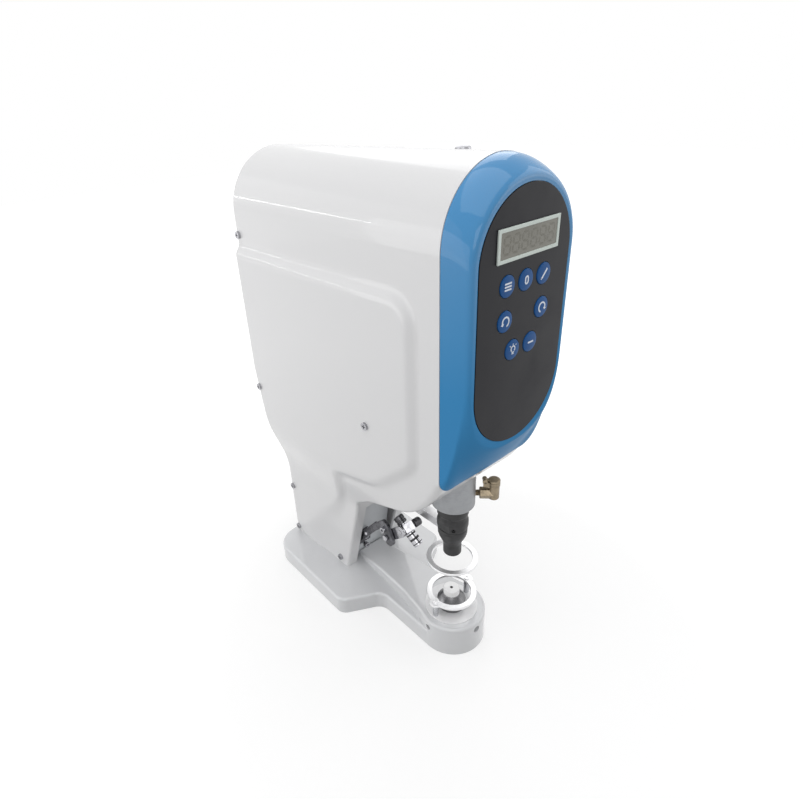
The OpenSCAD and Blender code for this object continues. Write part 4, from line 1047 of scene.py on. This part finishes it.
def base_casting(size):
    """The base: a flange with two wings, and a nose with the spine that climbs to it."""
    flange = upright("flange", around_nose(FLANGE), 0, FOOT)
    round_top(flange, size.base_edge)
    for x, y in BOLT_HOLES:
        cut_rod(flange, BOLT_RADIUS, 20, (x, y, -1))
    nose = upright("nose", around_nose(SPINE), 0, NOSE_TOP)
    fall = (NOSE_TOP - SPINE_TOP) / (SPINE_END - SPINE_START)
    slope = [(SPINE_START, NOSE_TOP), (WEDGE_END, NOSE_TOP - (WEDGE_END - SPINE_START) * fall),
             (WEDGE_END, WEDGE_REACH), (SPINE_START, WEDGE_REACH)]
    cut(nose, side_plate("wedge", slope, -WEDGE_REACH, WEDGE_REACH))
    round_top(nose, size.base_edge)
    cut_rod(nose, *DIE_SEAT)
    cut_rod(nose, *FRONT_SCREW, turn=(90, 0, 0))
    cut_rod(nose, *SIDE_SCREW, turn=(0, 90, 0))
    return joined("base_casting", [flange, nose])


class MACHINE_OT_base(bpy.types.Operator):
    """Round the base casting and paint the frame"""
    bl_idname = "machine.base"
    bl_label = "Base and frame"

    def execute(self, context):
        belongs(evened(base_casting(context.scene.machine_casing)), "base", "base_paint")
        softened("frame", 1.5, "frame_paint", name="frame_casting", segments=3)
        return {"FINISHED"}


# The oil cup, before it is turned about the press axis: its places, its hinge and the hinge's ears and pin.
OIL_TURN, OIL_REACH, OIL_HINGE = -45, 38.0, (29.3, 0, 202.2)
STEM_PLACE, NUT_PLACE = (17.5, 0, 187.5), (24.5, 0, 187.5)
EAR_OUT, EAR_HALF, EAR_RADIUS, KNUCKLE_HALF, KNUCKLE_RADIUS = 2.6, 0.9, 2.3, 1.4, 2.0
STEM = ([(3.2, 0), (3.2, 3.4)] + [(2.6 if k % 2 else 3.2, 3.6 + 0.45 * k) for k in range(9)] + [(3.2, 8)])
NUT = [(5.0, 0), (5.7, 0.5), (5.8, 1.0), (5.8, 12.6), (5.0, 13.4)]
CUP = [(4.0, 181.8), (4.9, 182.2), (5.3, 183.0), (5.3, 196.4), (5.7, 197.0), (5.7, 200.3), (5.2, 201.0)]
WEB = [(-1.7, -5.2), (4.4, -7.2), (4.4, -1.4), (0.0, 0.0), (-1.7, -1.0)]
DOME = [(4.6, 201.15), (5.5, 201.3), (5.7, 201.8), (5.7, 202.7), (5.4, 203.3), (4.5, 203.8), (2.8, 204.1),
        (1.0, 204.2)]
TONGUE = [(0, -1.0), (5.5, -1.0), (5.5, 1.2), (0, 1.2)]


def oil_fitting():
    """The oil cup: a threaded stem, a hexagon, an upright cup with hinge ears, and its domed lid."""
    about = spun(OIL_TURN, "Z")
    at_cup, at_hinge = about @ moved(OIL_REACH, 0, 0), about @ moved(*OIL_HINGE)
    flat_on, side_on = spun(90, "X"), spun(-90, "Z")
    pieces = [placed(turned("stem", STEM, STUD_SIDES), about @ moved(*STEM_PLACE) @ spun(90, "Y")),
              placed(turned("nut", NUT, NUT_SIDES), about @ moved(*NUT_PLACE) @ spun(90, "Y")),
              placed(turned("cup", CUP, ROUND_SIDES), at_cup)]
    for out in (-EAR_OUT, EAR_OUT):
        ear = turned("ear", [(EAR_RADIUS, -EAR_HALF), (EAR_RADIUS, EAR_HALF)], PIN_SIDES)
        web = side_plate("web", WEB, out - EAR_HALF, out + EAR_HALF)
        pieces += [placed(ear, at_hinge @ moved(0, out, 0) @ flat_on), placed(web, at_hinge @ side_on)]
    body = joined("oil_elbow", pieces)
    bevelled(body, 0.3, 35)
    belongs(evened(body), "oil_cup", "oil_brass")
    dome = placed(turned("dome", DOME, ROUND_SIDES), at_cup)
    pin = [(KNUCKLE_RADIUS, -KNUCKLE_HALF), (KNUCKLE_RADIUS, KNUCKLE_HALF)]
    knuckle = placed(turned("knuckle", pin, PIN_SIDES), at_hinge @ flat_on)
    tongue = placed(side_plate("tongue", TONGUE, -KNUCKLE_HALF, KNUCKLE_HALF), at_hinge @ side_on)
    lid = joined("oil_cap", [dome, knuckle, tongue])
    belongs(evened(lid), "oil_lid", "oil_brass")


# Turned profiles of the press tools: radius and height.
HOLDER = [(12.1, 176.4), (15.2, 176.4), (15.5, 176.0), (15.5, 165.2), (14.9, 164.6), (14.3, 163.0),
          (14.2, 159.5), (15.0, 157.8), (15.6, 155.6), (15.6, 150.2), (15.0, 147.6), (13.4, 147.1)]
PUNCH = [(13.2, 147.0), (14.4, 146.2), (14.8, 144.6), (14.6, 140.0), (13.6, 136.4), (11.2, 131.0),
         (9.6, 127.2), (9.2, 124.5), (9.2, 114.0), (8.7, 113.2), (5.6, 113.2), (5.4, 113.6)]
DIE = [(14.6, 38.1), (15.0, 38.6), (15.0, 46.0), (14.6, 46.6), (12.6, 49.0), (10.6, 51.6), (9.2, 53.6),
       (8.6, 54.4), (8.0, 54.6)]
DIE_FACE = [(8.0, 54.2), (8.5, 54.6), (8.5, 60.4), (8.1, 60.9), (7.6, 61.0)]
# A near-black plug inside the die's hole, which stands in for the shade down the hole: painted shade.
DIE_PIT_SHADE = [(1.65, 56.0), (1.65, 60.6)]
HOLDER_FLATS = [((-30, -30, 146), (-13.6, 30, 156.5)), ((13.6, -30, 146), (30, 30, 156.5))]
HOLDER_SCREW, PIT_OPENING = (2.05, 12, (-10.6, -10.6, 152)), (1.7, 12, (0, 0, 61))
PUNCH_FLAT = ((-30, -30, 120), (-12.2, 30, 143))
# CAD nodes that keep their shape: the width of their broken edges and their finish.
PRESS_FORMS = {"ram_housing": (0.8, "housing_steel"), "ram": (0.4, "ground_steel"),
               "punch_set_screw": (0.2, "black_screw"), "die_plate": (0.3, "pale_steel_and_painted_glare"),
               "die_set_screws": (0.3, "black_set_screw_and_pit_shade"), "lower_ring": (0.5, "bright_steel"),
               "ring_posts": (0.3, "ground_steel"), "ring_screws": (0.35, "bright_steel"),
               "guard_ring": (0.6, "bright_steel"), "guard_arm": (0.8, "bright_steel"),
               "guard_rod": (0.4, "ground_steel"), "guard_bush": (0.3, "bronze")}
LAMP_FORMS = {"lamp_bracket_screws": (0.3, "lamp_chrome"), "lamp_arm": (0.5, "lamp_chrome"),
              "lamp_clamp": (0.7, "lamp_chrome")}
FITTING_FORMS = {"side_screws": (0.5, "screw_steel"), "power_inlet": (0.5, "black_plastic"),
                 "power_switch": (0.5, "black_plastic"), "power_rocker": (0.5, "black_plastic"),
                 "pedal_socket": (0.5, "screw_steel"), "frame_bolts": (0.5, "black_screw")}


def soften_all(forms):
    for cad, (width, look) in forms.items():
        softened(cad, width, look)


class MACHINE_OT_press(bpy.types.Operator):
    """Turn the ram housing, the punch and the dies with their finger rings"""
    bl_idname = "machine.press"
    bl_label = "Press tools"

    def execute(self, context):
        soften_all(PRESS_FORMS)
        oil_fitting()
        holder = turned("holder_body", HOLDER, TOOL_SIDES)
        for low, high in HOLDER_FLATS:
            cut_box(holder, low, high)
        cut_rod(holder, *HOLDER_SCREW, turn=(0, 90, -135))
        belongs(evened(holder), "punch_holder", "black_steel")
        punch = turned("punch_body", PUNCH, TOOL_SIDES)
        cut_box(punch, *PUNCH_FLAT)
        belongs(evened(punch), "punch", "black_steel")
        belongs(evened(turned("die_body", DIE, TOOL_SIDES)), "lower_die", "tool_steel")
        # The die's top face is a piece of its own with a near-white finish: painted light on the same steel
        # as the dark die below.
        face = turned("die_face", DIE_FACE, TOOL_SIDES)
        cut_rod(face, *PIT_OPENING)
        # The near-black plug in the die's hole is painted shade.
        belongs(smooth(turned("die_pit_shade", DIE_PIT_SHADE, PIN_SIDES)), "lower_die", "black_set_screw_and_pit_shade", replaces=False)
        belongs(evened(face), "lower_die", "die_top_painted_light", replaces=False)
        return {"FINISHED"}


# The spot lamp: its joint, its aim, and profiles along it from the joint.
LAMP_JOINT, LAMP_YAW, LAMP_PITCH = (-10, 57, 112), 9.95, 90 + 41.4
BARREL = [(3.6, -9), (3.9, -8.6), (3.9, 4.6), (5.2, 5.0), (5.6, 5.6), (5.6, 12.4), (5.1, 12.7), (5.1, 14.1),
          (5.6, 14.4), (5.6, 21.0), (5.2, 21.6), (4.6, 21.6), (4.4, 20.6)]
BANDS, BAND_INNER, BAND_OUTER = ((6.6, 8.4), (12.2, 14.6), (18.4, 19.4)), 5.0, 5.75
GRIP = [(3.2, -16.0), (5.2, -16.0), (5.8, -15.4), (5.8, -11.6), (5.2, -11.2), (5.2, -10.2), (5.8, -9.8),
        (5.8, -7.4), (5.3, -6.8), (3.6, -6.8)]
KNOB = [(2.9, -3.2), (3.2, -3.0), (3.2, -0.2), (4.4, 0.0), (4.85, 0.5), (4.85, 7.9), (4.5, 9.0), (3.6, 9.6),
        (2.2, 9.8)]
GRIP_RIBS, KNOB_RIBS = (5.5, 0.35), (4.6, 0.3)
RIVET, RIVET_PLACE = [(2.6, 0), (2.6, 0.6), (2.2, 1.3), (1.2, 1.7)], (-24.4, 112, 78)
# The bracket's straps: their kind of outline, its ends in y and z with its width or radius, and their sides.
STRAPS = ((bar, (127, 60, 92, 102, 8.4), (-24.4, -20.6)), (bar, (96.5, 96.5, 80, 112, 8.4), (-24.6, -20.4)),
          (slot_ring, (79.0, 109.5, 71.5, 93.5, 6.8), (-25, -20)))
STRAP_FOOT = ((-25, 125.1, 52), (-8, 129.9, 68))


class MACHINE_OT_lamp(bpy.types.Operator):
    """Make the spot lamp with its bracket, arm, clamp and knurled knob"""
    bl_idname = "machine.lamp"
    bl_label = "Spot lamp"

    def execute(self, context):
        soften_all(LAMP_FORMS)
        straps = [side_plate("strap", outline(*ends), *sides) for outline, ends, sides in STRAPS]
        bracket = joined("lamp_strap", [*straps, block("foot", *STRAP_FOOT)])
        bevelled(bracket, 0.8, SHARP_OVER)
        belongs(evened(bracket), "lamp_bracket", "dark_steel")
        rivet = placed(turned("strap_rivet", RIVET, PIN_SIDES), moved(*RIVET_PLACE) @ spun(-90, "Y"))
        belongs(smooth(rivet), "lamp_bracket", "lamp_chrome", replaces=False)

        aim = moved(*LAMP_JOINT) @ spun(LAMP_YAW, "Z") @ spun(LAMP_PITCH, "X")
        barrel = placed(turned("lamp_barrel", BARREL, ROUND_SIDES), aim)
        bands = []
        for low, high in BANDS:
            profile = [(BAND_INNER, low), (BAND_OUTER, low), (BAND_OUTER, high), (BAND_INNER, high)]
            bands.append(turned("band", profile, ROUND_SIDES))
        band = placed(joined("lamp_band", bands), aim)
        belongs(smooth(band, 30), "lamp_tube", "black_screw", replaces=False)
        belongs(smooth(barrel, 30), "lamp_tube", "lamp_chrome")
        # The grip and knob take the darkened chrome, whose darkness is painted dark reflection.
        grip = turned("lamp_grip", GRIP, KNURL_FACETS)
        knurl(grip, *GRIP_RIBS)
        belongs(smooth(placed(grip, aim), 30), "lamp_cap", "dark_chrome")
        knob = turned("knob_grip", KNOB, KNURL_FACETS)
        knurl(knob, *KNOB_RIBS)
        placed(knob, moved(0, *LAMP_JOINT[1:]) @ spun(90, "Y"))
        belongs(smooth(knob, 30), "clamp_knob", "dark_chrome")
        return {"FINISHED"}


BUTTON = [(5.2, 489.8), (5.9, 490.2), (6.1, 491.6), (5.8, 492.7), (4.6, 493.5), (2.2, 493.9)]
BUTTON_PLACE = (8, 4, 0)
INSIDE = {"bronze": ("lower_bush", "upper_bush"), "alloy": ("screw_coupling", "motor_mount", "servo_drive"),
          "ground_steel": ("drive_nut", "drive_screw", "motor_shaft", "screw_bearing"),
          "motor_black": ("servo_motor",), "board_green": ("control_board",)}


class MACHINE_OT_fittings(bpy.types.Operator):
    """Finish the screws, the sockets at the back and the drive inside"""
    bl_idname = "machine.fittings"
    bl_label = "Fittings"

    def execute(self, context):
        soften_all(FITTING_FORMS)
        button = placed(turned("crown_button", BUTTON, STUD_SIDES), moved(*BUTTON_PLACE))
        belongs(evened(button, 30), "crown_screw", "screw_steel")
        for look, cads in INSIDE.items():
            for cad in cads:
                coated(NODES[cad].data, look)
        return {"FINISHED"}


# The studio. Each lamp: its place, its share of the key's power, its width and its depth in metres.
LAMPS = {
    "overhead": ((-0.25, 0.0, 1.75), 1.0, 1.6, 1.6),
    "left_fill": ((-1.6, 0.65, 0.45), 0.6, 1.8, 0.86),
    "rear_fill": ((-1.35, 1.35, 0.55), 0.5, 2.2, 1.6),
    "front_fill": ((-1.25, -1.15, 1.15), 0.46, 1.0, 0.8),
    "right_fill": ((1.4, -0.8, 0.9), 0.85, 1.6, 1.6),
    "right_rear": ((1.05, 1.1, 1.5), 0.62, 1.2, 1.2),
    "tube": ((-1.67, 2.6, 0.81), 0.12, 0.9, 0.03),
}
LAMPS_AIM = Vector((0, 0.08, 0.28))
WHITE, PAPER = (1, 1, 1, 1), (0.48, 0.48, 0.48, 1)
# The floor's glow near the machine, which keeps its shadow, and away from it: distances, then strengths.
GLOW = (0.25, 0.9, 0.54, 1.0)
FLOOR_DROP, CLIP = -0.0002, (0.01, 50)
EYE, EYE_SHIFT, SENSOR = (-0.33129, -0.29662, 0.53170), (0.05845, -0.00362), 36.0
EYE_RIGHT = (0.77745419, -0.62537333, -0.06688192)
EYE_DOWN = (-0.34116503, -0.32999875, -0.88017455)
EYE_AHEAD = (0.52836674, 0.70711316, -0.46991442)


def seen(tree):
    """Where a surface is seen by the camera, straight, in a reflection or through glass."""
    ray = node(tree, "LightPath").outputs
    shown = combine(tree, "MAXIMUM", ray["Is Camera Ray"], ray["Is Glossy Ray"])
    return combine(tree, "MAXIMUM", shown, ray["Is Transmission Ray"])


def floor_paper():
    """White paper that keeps a shadow and lights the machine no more than plain paper does."""
    paper = bpy.data.materials.new("floor_paper")
    paper.use_nodes = True
    tree = paper.node_tree
    tree.nodes.remove(tree.nodes["Principled BSDF"])
    plain = node(tree, "BsdfDiffuse", [("Color", PAPER)]).outputs[0]
    place = node(tree, "TexCoord").outputs["Object"]
    far = node(tree, "VectorMath", [(0, place)], operation="LENGTH").outputs["Value"]
    glow = node(tree, "Emission", [("Color", WHITE), ("Strength", spread(tree, far, *GLOW))]).outputs[0]
    bright = node(tree, "AddShader", [(0, plain), (1, glow)]).outputs[0]
    mixed = node(tree, "MixShader", [(0, seen(tree)), (1, plain), (2, bright)]).outputs[0]
    feed(tree, tree.nodes["Material Output"], [("Surface", mixed)])
    return paper


def studio_world(ambient):
    """Even light all round, and white where it is seen."""
    world = bpy.data.worlds.new("studio")
    world.use_nodes = True
    tree = world.node_tree
    tree.nodes.clear()
    soft, white = (node(tree, "Background", [("Color", WHITE), ("Strength", strength)]).outputs[0]
                   for strength in (ambient, 1.0))
    mixed = node(tree, "MixShader", [(0, seen(tree)), (1, soft), (2, white)]).outputs[0]
    node(tree, "OutputWorld", [("Surface", mixed)])
    return world


class MACHINE_OT_stage(bpy.types.Operator):
    """Set the floor, the soft light and the camera"""
    bl_idname = "machine.stage"
    bl_label = "Stage"

    def execute(self, context):
        scene = context.scene
        size = scene.machine_stage
        scene.view_settings.view_transform = "Standard"
        scene.world = studio_world(size.ambient)
        idle()
        bpy.ops.mesh.primitive_plane_add(size=size.floor, location=(0, 0, FLOOR_DROP))
        floor = named("floor")
        floor.data.materials.append(floor_paper())
        for name, (place, share, wide, deep) in LAMPS.items():
            light = bpy.data.lights.new(name, "AREA")
            light.shape = "RECTANGLE"
            light.energy, light.size, light.size_y = size.key * share, wide, deep
            lamp = bpy.data.objects.new(name, light)
            lamp.location = place
            lamp.rotation_euler = (LAMPS_AIM - Vector(place)).to_track_quat("-Z", "Y").to_euler()
            scene.collection.objects.link(lamp)
        camera = bpy.data.cameras.new("camera")
        camera.sensor_fit, camera.sensor_width, camera.lens = "HORIZONTAL", SENSOR, size.focal
        camera.shift_x, camera.shift_y = EYE_SHIFT
        camera.clip_start, camera.clip_end = CLIP
        eye = bpy.data.objects.new("camera", camera)
        turn = Matrix((EYE_RIGHT, -Vector(EYE_DOWN), -Vector(EYE_AHEAD))).transposed().to_4x4()
        eye.matrix_world = Matrix.Translation(EYE) @ turn
        scene.collection.objects.link(eye)
        scene.camera = eye
        return {"FINISHED"}


STEPS = (MACHINE_OT_stage, MACHINE_OT_finishes, MACHINE_OT_casing, MACHINE_OT_front_cover, MACHINE_OT_panel,
         MACHINE_OT_base, MACHINE_OT_press, MACHINE_OT_lamp, MACHINE_OT_fittings)
SETTINGS = {"machine_casing": CasingSizes, "machine_panel": PanelSizes, "machine_finishes": Finishes,
            "machine_stage": StageSizes}


class MACHINE_PT_panel(bpy.types.Panel):
    """The machine's pieces in the sidebar"""
    bl_idname = "MACHINE_PT_panel"
    bl_label = "Snap button machine"
    bl_space_type = "VIEW_3D"
    bl_region_type = "UI"
    bl_category = "Snap machine"

    def draw(self, context):
        for step in STEPS:
            self.layout.operator(step.bl_idname)
        for name in SETTINGS:
            settings = getattr(context.scene, name)
            for key in settings.__annotations__:
                self.layout.prop(settings, key)


CLASSES = (*SETTINGS.values(), *STEPS, MACHINE_PT_panel)


def register():
    for item in CLASSES:
        bpy.utils.register_class(item)
    for name, kind in SETTINGS.items():
        setattr(bpy.types.Scene, name, bpy.props.PointerProperty(type=kind))


def unregister():
    for name in SETTINGS:
        delattr(bpy.types.Scene, name)
    for item in reversed(CLASSES):
        bpy.utils.unregister_class(item)


def main():
    register()
    for step in STEPS:
        area, action = step.bl_idname.split(".")
        getattr(getattr(bpy.ops, area), action)()


if __name__ == "__main__":
    main()
